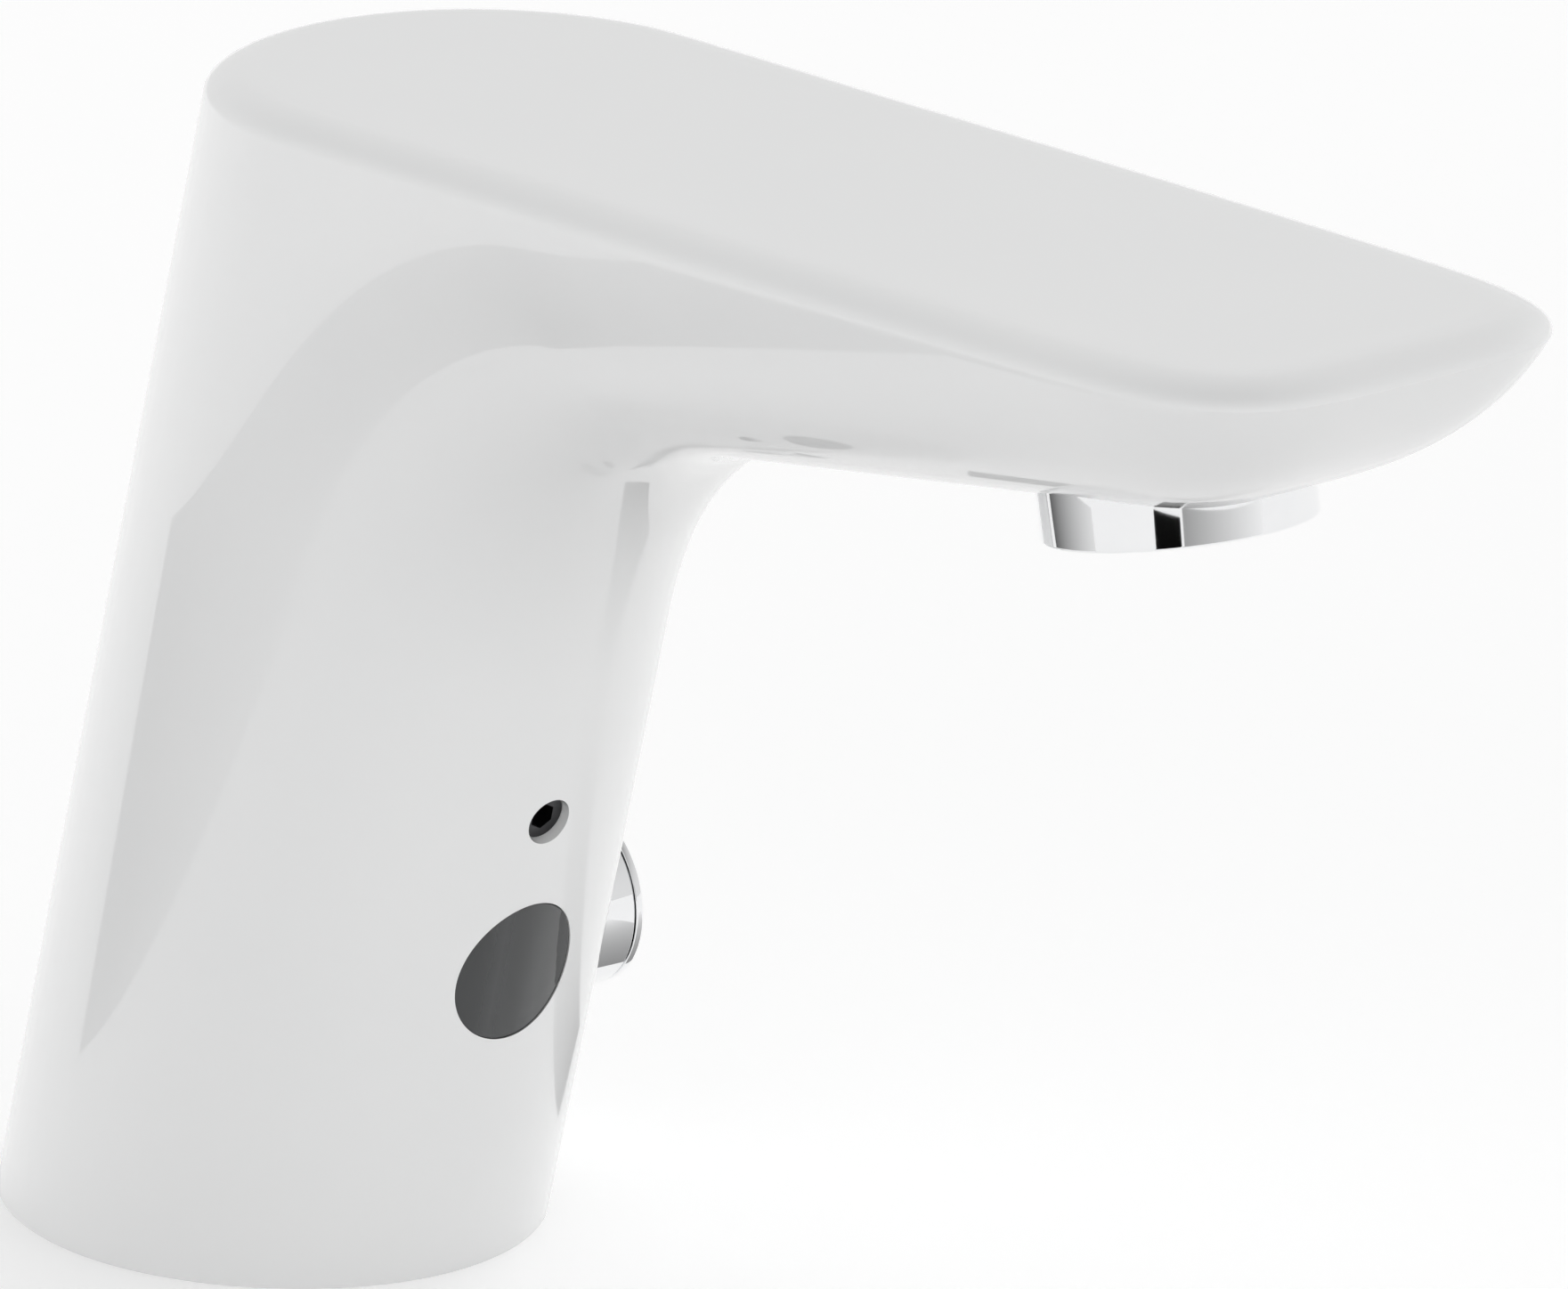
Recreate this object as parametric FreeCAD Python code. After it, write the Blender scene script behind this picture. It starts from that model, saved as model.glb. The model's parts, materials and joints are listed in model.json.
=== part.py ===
import FreeCAD, Part
import os
from math import acos, atan2, cos, hypot, pi, radians, sin, sqrt, tan

# Sensor basin tap. Millimetres, +X towards the user, +Y the knob side, +Z up.
# The origin is the middle of the column's foot on the deck.

Vector = FreeCAD.Vector

# ---- body form
half_length = 30.45         # column, middle to front, at the deck
half_width = 27.0           # column, middle to side, at the deck
lean_angle = 16.23          # degrees that the column leans towards the user
narrowing = 0.00019         # share of the column's size lost per millimetre of height
top_height = 125.5          # top face above the deck, over the origin
top_slope = 0.0212          # rise of the top face per millimetre towards the user
spout_reach = 174.8         # front tip of the spout from the origin
spout_half_width = 26.6     # widest half width, at the front of the spout
waist_slope = -0.0065       # growth of the half width per millimetre back from the tip
waist_blend = 53.0          # distance over which the column's width becomes the spout's
throat_radius = 48.0        # inner curve between the column and the spout
underside_angle = 9.29      # degrees that the underside climbs
underside_height = 102.3    # underside above the deck, at underside_station
underside_station = 100.0
hull_depth = 30.7           # depth over which the spout's flank becomes upright
hull_side_power = 2.75
hull_keel_power = 2.43
bow_power = 4.05
bow_length = 35.5
edge_radius = 2.4           # rounding round the top face
wall = 3.0
top_wall = 3.0

# ---- sections that carry the body's skin
column_sections = 8
throat_sections = 8
hull_sections = 9
bow_sections = 11
edge_sections = 5
points_per_side = 36
section_samples = 240
front_crowding = 1.6        # how closely a section's samples gather at its front point
bow_crowding = 1.3          # how closely the bow's sections gather at its lower end
axis_margin = 0.005         # least share by which a section climbs above the underside's slope
far = 400.0                 # beyond the whole body

# ---- clearances
seat_gap = 0.05             # pieces that seat in one another
running_gap = 0.10          # a shaft in its bore
film_gap = 0.03             # the water film between the ceramic discs
free_gap = 0.30             # pieces that pass each other
wall_gap = 0.15             # inner pieces that follow the body's wall

# ---- knob
knob_x = 7.72
knob_height = 26.65
knob_radius = 9.58
knob_end = 34.69            # outer face from the middle plane
knob_rear = 16.3            # hidden inner end of the sleeve
knob_hole_gap = 0.25
cap_thickness = 0.86
seam_width = 0.26
seam_depth = 0.7
cap_spigot_length = 1.9
cap_rounding = 0.15
sleeve_wall = 1.4
sleeve_recess = 3.6         # depth of the hollow at the sleeve's hidden end
knob_travel = 50.0          # degrees each way

# ---- sensor window and fixing screw
window_height = 34.56
window_radius = 7.14
window_tilt = 9.2           # degrees that the window's bore climbs towards the user
window_gap = 0.10
lens_recess = 0.15
screw_height = 51.5
screw_hole_radius = 2.5
screw_length = 4.6
screw_recess = 1.2
screw_bite_gap = 0.4
hex_across_flats = 2.5
hex_depth = 2.2

# ---- outlet
outlet_setback = 36.69      # outlet behind the spout's tip
collar_drop = 3.474         # middle of the aerator's lower rim below the underside
outlet_tilt = 10.4          # degrees that the water leans towards the user
outlet_radius = 13.02
outlet_hole_gap = 0.18
collar_wall = 1.42
collar_lip = 1.0
collar_lip_width = 0.6
collar_rounding = 0.4
insert_height = 6.8

# ---- foot
gasket_thickness = 1.2
gasket_hole_gap = 0.5
plate_thickness = 4.0
inlet_x = -10.0
inlet_y = 10.0
inlet_radius = 7.0
inlet_thread_radius = 4.5
inlet_thread_length = 9.5
inlet_top = 13.0
stud_x = 12.0
stud_y = -11.0
stud_thread_radius = 3.4
stud_thread_length = 10.0
stud_clearance_radius = 4.4
cable_x = 12.0
cable_y = 11.0
grommet_radius = 4.5
grommet_lip = 1.4
cable_radius = 2.4
block_screw_x = (-2.0, 14.5)
block_screw_radius = 2.0
block_screw_head = 3.9
block_screw_sink = 2.4
block_screw_length = 11.0
thread_runout = 0.5         # depth of a threaded hole beyond its screw

# ---- valve block
block_height = 47.0
block_back = -19.0
block_sensor_gap = 0.965    # block behind the sensor's housing
block_side = 13.0           # face that the knob's cartridge screws into
shelf_thickness = 5.5       # ledge that carries the front of the solenoid valve
block_gap = 1.5
inlet_wall_front = 0.6      # metal round the inlets
inlet_wall_side = 1.2
check_roof = 1.0            # metal over the check valves
channel_cover = 1.0         # metal between the waterways and the cartridge
lead_wall = 2.0             # free space round the cable's grommet
channel_radius = 2.0
port_offset = 4.0
port_rise = 2.5

# ---- check valves
strainer_thickness = 0.5
strainer_hole_radius = 0.45
strainer_holes = 8
strainer_ring_radius = 1.82
check_radius = 5.5
check_bore = 4.4
check_bottom = 14.0
check_height = 11.5
check_seat_height = 1.5
check_seat_bore = 2.6
poppet_radius = 3.6
poppet_head = 1.4
poppet_stem = 1.15
poppet_travel = 1.8
poppet_top_gap = 0.45       # stem below the valve body's top at full lift
guide_height = 7.5
guide_thickness = 1.2
guide_hole_radius = 1.1
guide_hole_shift = 0.1
spring_wire = 0.35
check_spring_gap = 0.5      # spring round the poppet's stem
check_spring_turns = 4

# ---- mixing cartridge, stations along Y from its seat
seat_y = -5.0
seal_thickness = 1.0
disc_radius = 8.0
fixed_disc_thickness = 2.5
moving_disc_thickness = 2.0
moving_disc_radius = 7.4
disc_port_radius = 1.7
cup_radius = 9.0
cup_front = 9.0
cup_floor = 4.2
carrier_radius = 6.0
carrier_thickness = 3.0
spindle_radius = 4.0
spindle_end = 26.6
flat_length = 8.0           # drive flat at the spindle's end
flat_depth = 0.8
lug_half_angle = 12.0
stop_margin = 1.0
seal_wire = 0.85
nut_radius = 10.5
nut_bore = 6.0
limit_ring_radius = 8.0
limit_ring_thickness = 2.4
limit_lug_radius = 9.6
knob_screw_radius = 2.0
knob_screw_head = 3.5
knob_screw_head_height = 2.8
knob_socket_floor = 1.0
knob_thread_runout = 1.0
knob_screw_length = 11.0
knob_web = 2.0
guide_ring_radius = 12.4
guide_ring_thickness = 3.0
guide_ring_inset = 5.2      # ring's inner face from the wall's inner side

# ---- solenoid valve
valve_setback = 6.0         # valve's middle behind the block's front face
valve_half = 12.0
valve_corner = 2.5
valve_base_height = 7.0
way_floor = 0.8             # plastic under the base's waterway
diaphragm_radius = 11.3
diaphragm_thickness = 1.2
diaphragm_boss = 2.5
diaphragm_boss_height = 0.6
chamber_radius = 9.5
chamber_depth = 2.0
valve_seat_radius = 4.0
valve_seat_bore = 2.8
cover_height = 4.3
cover_screw_offset = 10.2
cover_screw_radius = 1.5
cover_screw_head = 2.6
cover_screw_head_height = 2.2
cover_screw_length = 16.0
cover_socket_floor = 0.8
core_radius = 5.0
core_bore = 4.1
core_flange = 6.5
core_flange_depth = 1.3
core_foot_gap = 0.2
core_stand = 1.9            # core tube above its nut
pole_height = 6.0
plunger_travel = 2.5
plunger_stop_gap = 1.55     # left between the plunger and the pole at full lift
plunger_pocket = 2.6
plunger_pocket_depth = 8.0
plunger_spring_gap = 0.2
plunger_spring_turns = 7
pad_radius = 2.0
pad_thickness = 1.0
pad_gap = 0.05
bobbin_flange = 11.0
bobbin_height = 17.5
flange_thickness = 1.5
bobbin_wall = 1.0
winding_radius = 10.4
yoke_thickness = 1.2
yoke_half = 6.0
nut_across = 12.0
nut_height = 3.0
terminal_height = 6.0
terminal_thickness = 0.8
terminal_half_width = 1.4
terminal_offset = 3.5
terminal_gap = 2.6          # blades behind the yoke

# ---- outlet pipe and nozzle
pipe_offset = 21.5          # pipe in front of the valve's middle
pipe_radius = 3.2
pipe_bore = 2.3
pipe_bend = 14.0
pipe_boss_radius = 5.4
pipe_socket_depth = 5.6
pipe_socket_drop = 1.2      # socket's floor below the base's top face
pipe_seal_rise = 2.6        # seal above the socket's floor
pipe_ring_wire = 0.7
nozzle_foot = 9.0           # distance of the nozzle's flange above the collar's rim
nozzle_flange = 1.4
nozzle_height = 9.0
nozzle_radius = 12.6
nozzle_cavity = 9.5
nozzle_cavity_height = 7.6
nozzle_flange_radius = 16.4
nozzle_flange_side = 13.2
nozzle_port_rise = 5.0
stub_radius = 4.6
stub_length = 22.0          # end of the nozzle's pipe stub from its axis
union_across = 11.5
union_length = 6.0
union_overlap = 3.0
nozzle_screw_offset = 10.5  # along and across the spout
nozzle_screw_radius = 1.1
nozzle_screw_head = 1.9
nozzle_screw_head_height = 1.6
nozzle_socket_floor = 0.6
screw_tip_gap = 0.2         # screw's tip short of its hole's end
nozzle_thread = 1.7
land_radius = 17.6
skirt_radius = 11.5
skirt_wall = 1.0
skirt_length = 7.0
insert_radius = 10.4
insert_flange = 11.45
insert_flange_height = 0.85
insert_low = 1.05
insert_hole = 0.85
insert_pitch = 2.5
insert_rings = 3
screen_hole = 0.51
screen_pitch = 3.0
screen_rings = 2
screen_thickness = 0.4
limiter_radius = 8.5
limiter_thickness = 1.3
limiter_pitch = 3.0
limiter_rings = 2

# ---- sensor module, depths from the window's outer face
land_depth = 9.8
land_window_radius = 12.1
spot_depth = 5.6
spot_radius = 8.2
lens_flange_radius = 7.9
lens_seal_thickness = 0.4
lens_front = 5.0            # depth of the lens's hollow back
lens_hollow = 5.8
lens_root = 0.1             # length of the plug inside its flange
sensor_half_width = 8.2
sensor_half_height = 8.4
sensor_depth = 9.4
sensor_wall = 1.5
sensor_ear_reach = 11.9
sensor_ear_thickness = 2.0
board_depth = 13.6
board_thickness = 1.2
diode_radius = 2.2
diode_spacing = 3.2
diode_length = 3.8
sensor_screw_offset = 10.2
sensor_screw_radius = 1.1
sensor_screw_head = 1.75
sensor_screw_head_height = 1.3
sensor_thread = 2.6

# ---- control unit
unit_gap = 2.5              # unit above the valve's core tube
unit_height = 19.0
unit_front = 28.0
unit_half_width = 15.0


# ---- small helpers
def cylinder(radius, start, end):
    """solid cylinder from the point start to the point end"""
    way = end - start
    return Part.makeCylinder(radius, way.Length, start, way)


def tube(outer, inner, start, end):
    reach = (end - start).normalize()
    return cylinder(outer, start, end).cut(cylinder(inner, start - reach, end + reach))


def upright(radius, x, y, low, high):
    return cylinder(radius, Vector(x, y, low), Vector(x, y, high))


def upright_tube(outer, inner, x, y, low, high):
    return tube(outer, inner, Vector(x, y, low), Vector(x, y, high))


def across(radius, low, high, x=knob_x, z=knob_height):
    """cylinder along Y, on the knob's axis unless told otherwise"""
    return cylinder(radius, Vector(x, low, z), Vector(x, high, z))


def across_tube(outer, inner, low, high):
    return tube(outer, inner, Vector(knob_x, low, knob_height), Vector(knob_x, high, knob_height))


def block(low_x, high_x, low_y, high_y, low_z, high_z):
    return Part.makeBox(high_x - low_x, high_y - low_y, high_z - low_z, Vector(low_x, low_y, low_z))


def hexagon(across_flats, start, end):
    way = (end - start).normalize()
    side = way.cross(Vector(0, 1, 0))
    if side.Length < 0.1:
        side = way.cross(Vector(1, 0, 0))
    side.normalize()
    other = way.cross(side)
    reach = across_flats / sqrt(3)
    corners = [start + side * (reach * cos(radians(60 * i))) + other * (reach * sin(radians(60 * i)))
               for i in range(6)]
    return Part.Face(Part.makePolygon(corners + corners[:1])).extrude(end - start)


def seal_ring(middle, radius, wire, way):
    return Part.makeTorus(radius, wire, middle, way)


def spring(x, y, low, high, radius, turns):
    """coil spring as one tube along a helix"""
    path = Part.makeHelix((high - low) / turns, high - low, radius)
    ring = Part.Wire([Part.Circle(Vector(radius, 0, 0), Vector(0, 1, 0), spring_wire).toShape()])
    coil = Part.Wire(path.Edges).makePipeShell([ring], True, False)
    coil.translate(Vector(x, y, low))
    return coil


def sector(radius, low, high, half_angle, x=knob_x, z=knob_height):
    """wedge about an axis along Y, centred on the upward direction"""
    points = [Vector(x, low, z)]
    steps = 8
    for i in range(steps + 1):
        angle = radians(-half_angle + 2 * half_angle * i / steps)
        points.append(Vector(x + radius * sin(angle), low, z + radius * cos(angle)))
    return Part.Face(Part.makePolygon(points + points[:1])).extrude(Vector(0, high - low, 0))


def one(shape):
    """the only solid of a shape that may come wrapped"""
    return max(shape.Solids, key=lambda s: s.Volume)


# ---- body form
lean = tan(radians(lean_angle))
underside_slope = tan(radians(underside_angle))
front_lean = lean - half_length * narrowing
bow_x = spout_reach - bow_length


def unit(x, z):
    size = hypot(x, z)
    return x / size, z / size


def front_x(height):
    """front line of the column"""
    return half_length + front_lean * height


def underside(x):
    return underside_height + underside_slope * (x - underside_station)


def top(x):
    return top_height + top_slope * x


front_way = unit(front_lean, 1)
front_in = (-front_way[1], front_way[0])
underside_way = unit(1, underside_slope)
underside_in = (-underside_way[1], underside_way[0])
corner_x = (half_length + front_lean * (underside_height - underside_slope * underside_station)) / (
    1 - front_lean * underside_slope)
corner_z = (corner_x - half_length) / front_lean
throat_turn = acos(front_way[0] * underside_way[0] + front_way[1] * underside_way[1])
throat_run = throat_radius * tan(throat_turn / 2)
throat_low = (corner_x - front_way[0] * throat_run, corner_z - front_way[1] * throat_run)
throat_high = (corner_x + underside_way[0] * throat_run, corner_z + underside_way[1] * throat_run)
throat_x = throat_low[0] - front_in[0] * throat_radius
throat_z = throat_low[1] - front_in[1] * throat_radius
throat_start = atan2(front_in[1], front_in[0])
throat_end = atan2(underside_in[1], underside_in[0])


def smooth(share):
    share = min(max(share, 0.0), 1.0)
    return share * share * (3 - 2 * share)


def half_breadth(x, z):
    """half width of the body at a point of its middle plane, in front of the column's axis"""
    across_x = x - throat_x
    across_z = z - throat_z
    angle = atan2(across_z, across_x)
    if angle < -pi / 2:
        angle += 2 * pi
    if angle >= throat_start:
        blend = 0.0
        inward = front_in
        depth = across_x * inward[0] + across_z * inward[1] - throat_radius
    elif angle <= throat_end:
        blend = 1.0
        inward = underside_in
        depth = across_x * inward[0] + across_z * inward[1] - throat_radius
    else:
        blend = smooth((throat_start - angle) / (throat_start - throat_end))
        inward = unit(across_x, across_z)
        depth = hypot(across_x, across_z) - throat_radius
    if depth <= 0:
        return 0.0
    skin_x = x - depth * inward[0]
    skin_z = z - depth * inward[1]
    fall = lean * inward[1] - inward[0]
    column_depth = half_width * 3
    if fall > 1e-6:
        column_depth = min((skin_x - lean * skin_z) / fall, column_depth)
    reach = (1 - blend) * column_depth + blend * hull_depth
    side_power = 2 + blend * (hull_side_power - 2)
    keel_power = 2 + blend * (hull_keel_power - 2)
    fullness = (1 - max(0.0, 1 - depth / reach) ** keel_power) ** (1 / side_power)
    bow = blend * max(0.0, (x - bow_x) / bow_length)
    widen = smooth((x - lean * z) / waist_blend)
    column_width = half_width * (1 - narrowing * z)
    spout_width = spout_half_width + waist_slope * (spout_reach - x)
    width = column_width * (1 - widen) + spout_width * widen
    left = fullness ** bow_power - bow ** bow_power
    return width * left ** (1 / bow_power) if left > 0 else 0.0


def bow_point(angle):
    depth = hull_depth * (1 - cos(angle) ** (2 / hull_keel_power))
    x = bow_x + bow_length * sin(angle) ** (2 / hull_side_power)
    return x, underside(x) + depth / underside_way[0]


def bow_end(level):
    """angle at which the bow's middle line comes to a level below the top face"""
    low = 0.0
    high = pi / 2
    for _ in range(50):
        middle = (low + high) / 2
        x, z = bow_point(middle)
        if z < top(x) - level:
            low = middle
        else:
            high = middle
    return low


def section_lines(level):
    """front point and axis height of each section, from the deck to a level below the top face"""
    lines = []
    axis_top = (top_height - level) / (1 - top_slope * lean)
    fall = front_in[1] / front_in[0]
    axis_low = (throat_low[1] - fall * throat_low[0]) / (1 - lean * fall)
    axis_floor = (throat_high[1] - underside_slope * throat_high[0]) / (1 - underside_slope * lean)
    axis_floor += axis_margin * (axis_top - axis_floor)
    axis_middle = max((axis_low * 2 + axis_top) / 3, axis_floor)
    axis_high = (axis_middle + axis_top) / 2
    for i in range(column_sections):
        share = i / column_sections
        height = throat_low[1] * share
        lines.append((front_x(height), height, axis_low * share))
    for i in range(throat_sections):
        share = i / throat_sections
        angle = throat_start + (throat_end - throat_start) * share
        x = throat_x + throat_radius * cos(angle)
        z = throat_z + throat_radius * sin(angle)
        lines.append((x, z, axis_low + (axis_middle - axis_low) * share))
    for i in range(hull_sections):
        share = i / hull_sections
        x = throat_high[0] + (bow_x - throat_high[0]) * share
        lines.append((x, underside(x), axis_middle + (axis_high - axis_middle) * share))
    last = bow_end(level)
    for i in range(bow_sections + 1):
        share = i / bow_sections
        x, z = bow_point(last * share ** bow_crowding)
        lines.append((x, z, axis_high + (axis_top - axis_high) * share))
    return lines


def section_loop(front, height, axis_height, level):
    """closed loop of evenly spaced points through a front point and the column's axis"""
    axis_x = lean * axis_height
    chain = []
    for i in range(section_samples + 1):
        share = (1 - cos(i / section_samples * pi / 2)) ** front_crowding if i < section_samples else 1.0
        x = front + (axis_x - front) * share
        z = height + (axis_height - height) * share
        chain.append(Vector(x, half_breadth(x, z) if i else 0.0, z))
    tilt = axis_height / ((top_height - level) / (1 - top_slope * lean)) * top_slope
    size = 1 - narrowing * axis_height
    back_samples = section_samples // 3
    for i in range(1, back_samples + 1):
        angle = pi / 2 * (1 + i / back_samples)
        x = (lean * (axis_height - tilt * axis_x) + half_length * size * cos(angle)) / (1 - lean * tilt)
        y = half_width * size * sin(angle) if i < back_samples else 0.0
        chain.append(Vector(x, y, axis_height + tilt * (x - axis_x)))
    lengths = [0.0]
    for a, b in zip(chain, chain[1:]):
        lengths.append(lengths[-1] + (b - a).Length)
    side = []
    at = 0
    for i in range(points_per_side + 1):
        goal = lengths[-1] * i / points_per_side
        while at < len(lengths) - 2 and lengths[at + 1] < goal:
            at += 1
        share = (goal - lengths[at]) / (lengths[at + 1] - lengths[at])
        side.append(chain[at] + (chain[at + 1] - chain[at]) * share)
    side[0] = chain[0]
    side[-1] = chain[-1]
    mirrored = [Vector(p.x, -p.y, p.z) for p in side[-2:0:-1]]
    return side + mirrored


def outward_normals(loops):
    """outward normals of the skin at the loops' points"""
    rows = []
    for i, loop in enumerate(loops):
        below = loops[max(i - 1, 0)]
        above = loops[min(i + 1, len(loops) - 1)]
        count = len(loop)
        row = []
        for j in range(count):
            along = loop[(j + 1) % count] - loop[j - 1]
            up = above[j] - below[j]
            normal = along.cross(up)
            row.append(normal.normalize())
        rows.append(row)
    return rows


def flat_normals(loop):
    """outward normals of a flat loop, within its own plane"""
    face = Vector(-top_slope, 0, 1).normalize()
    count = len(loop)
    return [(loop[(j + 1) % count] - loop[j - 1]).cross(face).normalize() for j in range(count)]


def skin(loops):
    """smooth surface through closed loops that have the same number of points"""
    count = len(loops[0])
    steps = [i / count for i in range(count + 1)]
    rows = []
    for loop in loops:
        row = Part.BSplineCurve()
        row.interpolate(Points=loop, PeriodicFlag=True, Parameters=steps)
        rows.append(row)
    stations = [0.0]
    for a, b in zip(loops, loops[1:]):
        stations.append(stations[-1] + sum((q - p).Length for p, q in zip(a, b)) / count)
    row_poles = [row.getPoles() for row in rows]
    columns = []
    for j in range(len(row_poles[0])):
        column = Part.BSplineCurve()
        column.interpolate(Points=[poles[j] for poles in row_poles], PeriodicFlag=False,
                           Parameters=stations)
        columns.append(column)
    column_poles = [column.getPoles() for column in columns]
    net = [list(line) for line in zip(*column_poles)]
    surface = Part.BSplineSurface()
    surface.buildFromPolesMultsKnots(net, columns[0].getMultiplicities(), rows[0].getMultiplicities(),
                                     columns[0].getKnots(), rows[0].getKnots(), False, True, 3, 3)
    return surface.toShape()


def capped(loops):
    """solid between the first and the last loop, which are both flat"""
    side = skin(loops)
    rims = [edge for edge in side.Edges if edge.isClosed()]
    caps = [Part.Face(Part.Wire([rim])) for rim in rims]
    shell = Part.makeShell([side] + caps)
    shell.sewShape()
    solid = Part.makeSolid(shell)
    if solid.Volume < 0:
        solid.reverse()
    return solid


upper_level = max(edge_radius, 0.1)
side_loops = [section_loop(x, z, axis, upper_level) for x, z, axis in section_lines(upper_level)]


def outer_form():
    """outside of the body, with its rounded top edge"""
    loops = list(side_loops)
    rim = side_loops[-1]
    normals = flat_normals(rim)
    for i in range(1, edge_sections + 1):
        angle = pi / 2 * i / edge_sections
        inset = edge_radius * (1 - cos(angle))
        rise = Vector(-top_slope, 0, 1).normalize() * (edge_radius * sin(angle))
        loops.append([p - n * inset + rise for p, n in zip(rim, normals)])
    return capped(loops)


def inner_form(inset, top_inset):
    """form that lies inside the body's skin, open through the deck"""
    normals = outward_normals(side_loops)
    normals[0] = [Vector(n.x, n.y, 0).normalize() for n in normals[0]]
    normals[-1] = flat_normals(side_loops[-1])
    loops = [[p - n * inset for p, n in zip(loop, row)] for loop, row in zip(side_loops, normals)]
    least_rise = 1.0
    keep = [loop for loop in loops[:-1] if min(top(p.x) - top_inset - p.z for p in loop) > least_rise]
    last = [Vector(p.x, p.y, top(p.x) - top_inset) for p in loops[-1]]
    below = 2.0
    first = [Vector(p.x - lean * below, p.y, -below) for p in loops[0]]
    return capped([first] + keep + [last])


def window_point(depth, rise=0.0):
    """point on the window's axis, a depth behind its outer face, and a rise across it"""
    way = Vector(cos(radians(window_tilt)), 0, sin(radians(window_tilt)))
    up = Vector(-way.z, 0, way.x)
    return Vector(front_x(window_height), 0, window_height) - way * depth + up * rise


outlet_x = spout_reach - outlet_setback
outlet_height = underside(outlet_x) - collar_drop


def outlet_point(rise, side=0.0, forward=0.0):
    """point on the outlet's axis, a rise above the collar's lower rim"""
    up = Vector(-sin(radians(outlet_tilt)), 0, cos(radians(outlet_tilt)))
    ahead = Vector(up.z, 0, -up.x)
    return Vector(outlet_x, 0, outlet_height) + up * rise + Vector(0, side, 0) + ahead * forward


def screw_point(depth):
    """point on the fixing screw's axis, a depth behind the column's front line"""
    inward = Vector(front_in[0], 0, front_in[1])
    return Vector(front_x(screw_height), 0, screw_height) + inward * depth


pieces = {}

# ---- body shell
body_outside = outer_form()
cavity = inner_form(wall, top_wall)
envelope = inner_form(wall + wall_gap, top_wall + wall_gap)
block_envelope = inner_form(wall + block_gap, top_wall + block_gap)
collar_hole = outlet_radius + outlet_hole_gap
beyond = 30.0
nozzle_screw_places = [(i * nozzle_screw_offset, j * nozzle_screw_offset) for i in (-1, 1) for j in (-1, 1)]


def make_body_shell():
    room = cavity.cut(cylinder(land_window_radius, window_point(-beyond), window_point(land_depth)))
    land = cylinder(land_radius, outlet_point(-beyond), outlet_point(nozzle_foot - seat_gap))
    room = one(room.cut(land))
    shell = body_outside.cut(cylinder(window_radius, window_point(-beyond), window_point(beyond / 2)))
    shell = shell.cut(cylinder(screw_hole_radius, screw_point(-beyond), screw_point(beyond / 4)))
    shell = shell.cut(across(knob_radius + knob_hole_gap, half_width / 2, half_width + beyond))
    shell = shell.cut(cylinder(collar_hole, outlet_point(-beyond), outlet_point(nozzle_foot + 1)))
    shell = shell.cut(room)
    shell = shell.cut(cylinder(spot_radius, window_point(spot_depth), window_point(beyond / 2)))
    for side, ahead in nozzle_screw_places:
        shell = shell.cut(cylinder(nozzle_screw_radius + seat_gap,
                                   outlet_point(nozzle_foot - nozzle_thread, side, ahead),
                                   outlet_point(nozzle_foot + 1, side, ahead)))
    for way in (1, -1):
        shell = shell.cut(cylinder(sensor_screw_radius + seat_gap,
                                   window_point(land_depth - sensor_thread, way * sensor_screw_offset),
                                   window_point(land_depth + 1, way * sensor_screw_offset)))
    return one(shell)


pieces["body_shell"] = make_body_shell()

# ---- foot
plate_low = gasket_thickness
plate_high = plate_low + plate_thickness
block_low = plate_high


def slab(form, low, high):
    """slice of a form between two heights"""
    return one(form.common(block(-far, far, -far, far, low, high)))


def foot_holes(shape, extra):
    """holes for the inlets, the stud and the cable, with a little extra radius"""
    for side in (1, -1):
        shape = shape.cut(upright(inlet_radius + extra, inlet_x, inlet_y * side, -1, block_low + 1))
    shape = shape.cut(upright(stud_clearance_radius + extra, stud_x, stud_y, -1, block_low + 1))
    return shape.cut(upright(grommet_radius + extra, cable_x, cable_y, -1, block_low + 1))


pieces["base_gasket"] = one(foot_holes(slab(envelope, 0, gasket_thickness), gasket_hole_gap))
base_plate = foot_holes(slab(envelope, plate_low, plate_high), seat_gap)
for x in block_screw_x:
    sink = Part.makeCone(block_screw_head + seat_gap, block_screw_radius + seat_gap, block_screw_sink,
                         Vector(x, 0, plate_low))
    base_plate = base_plate.cut(sink)
    base_plate = base_plate.cut(upright(block_screw_radius + seat_gap, x, 0, plate_low, plate_high))
pieces["base_plate"] = one(base_plate)


def countersunk_screws():
    screws = []
    for x in block_screw_x:
        head = Part.makeCone(block_screw_head, block_screw_radius, block_screw_sink, Vector(x, 0, plate_low))
        shank = upright(block_screw_radius, x, 0, plate_low + block_screw_sink / 2,
                        plate_low + block_screw_length)
        recess = hexagon(hex_across_flats, Vector(x, 0, plate_low - 1),
                         Vector(x, 0, plate_low + hex_depth))
        screws.append(head.fuse(shank).cut(recess))
    return Part.makeCompound([one(screw) for screw in screws])


pieces["block_screws"] = countersunk_screws()
pieces["cable_grommet"] = one(
    upright_tube(grommet_radius, cable_radius, cable_x, cable_y, plate_low, plate_high)
    .fuse(upright_tube(grommet_radius + grommet_lip, cable_radius, cable_x, cable_y, plate_high,
                       plate_high + grommet_lip)))

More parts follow.
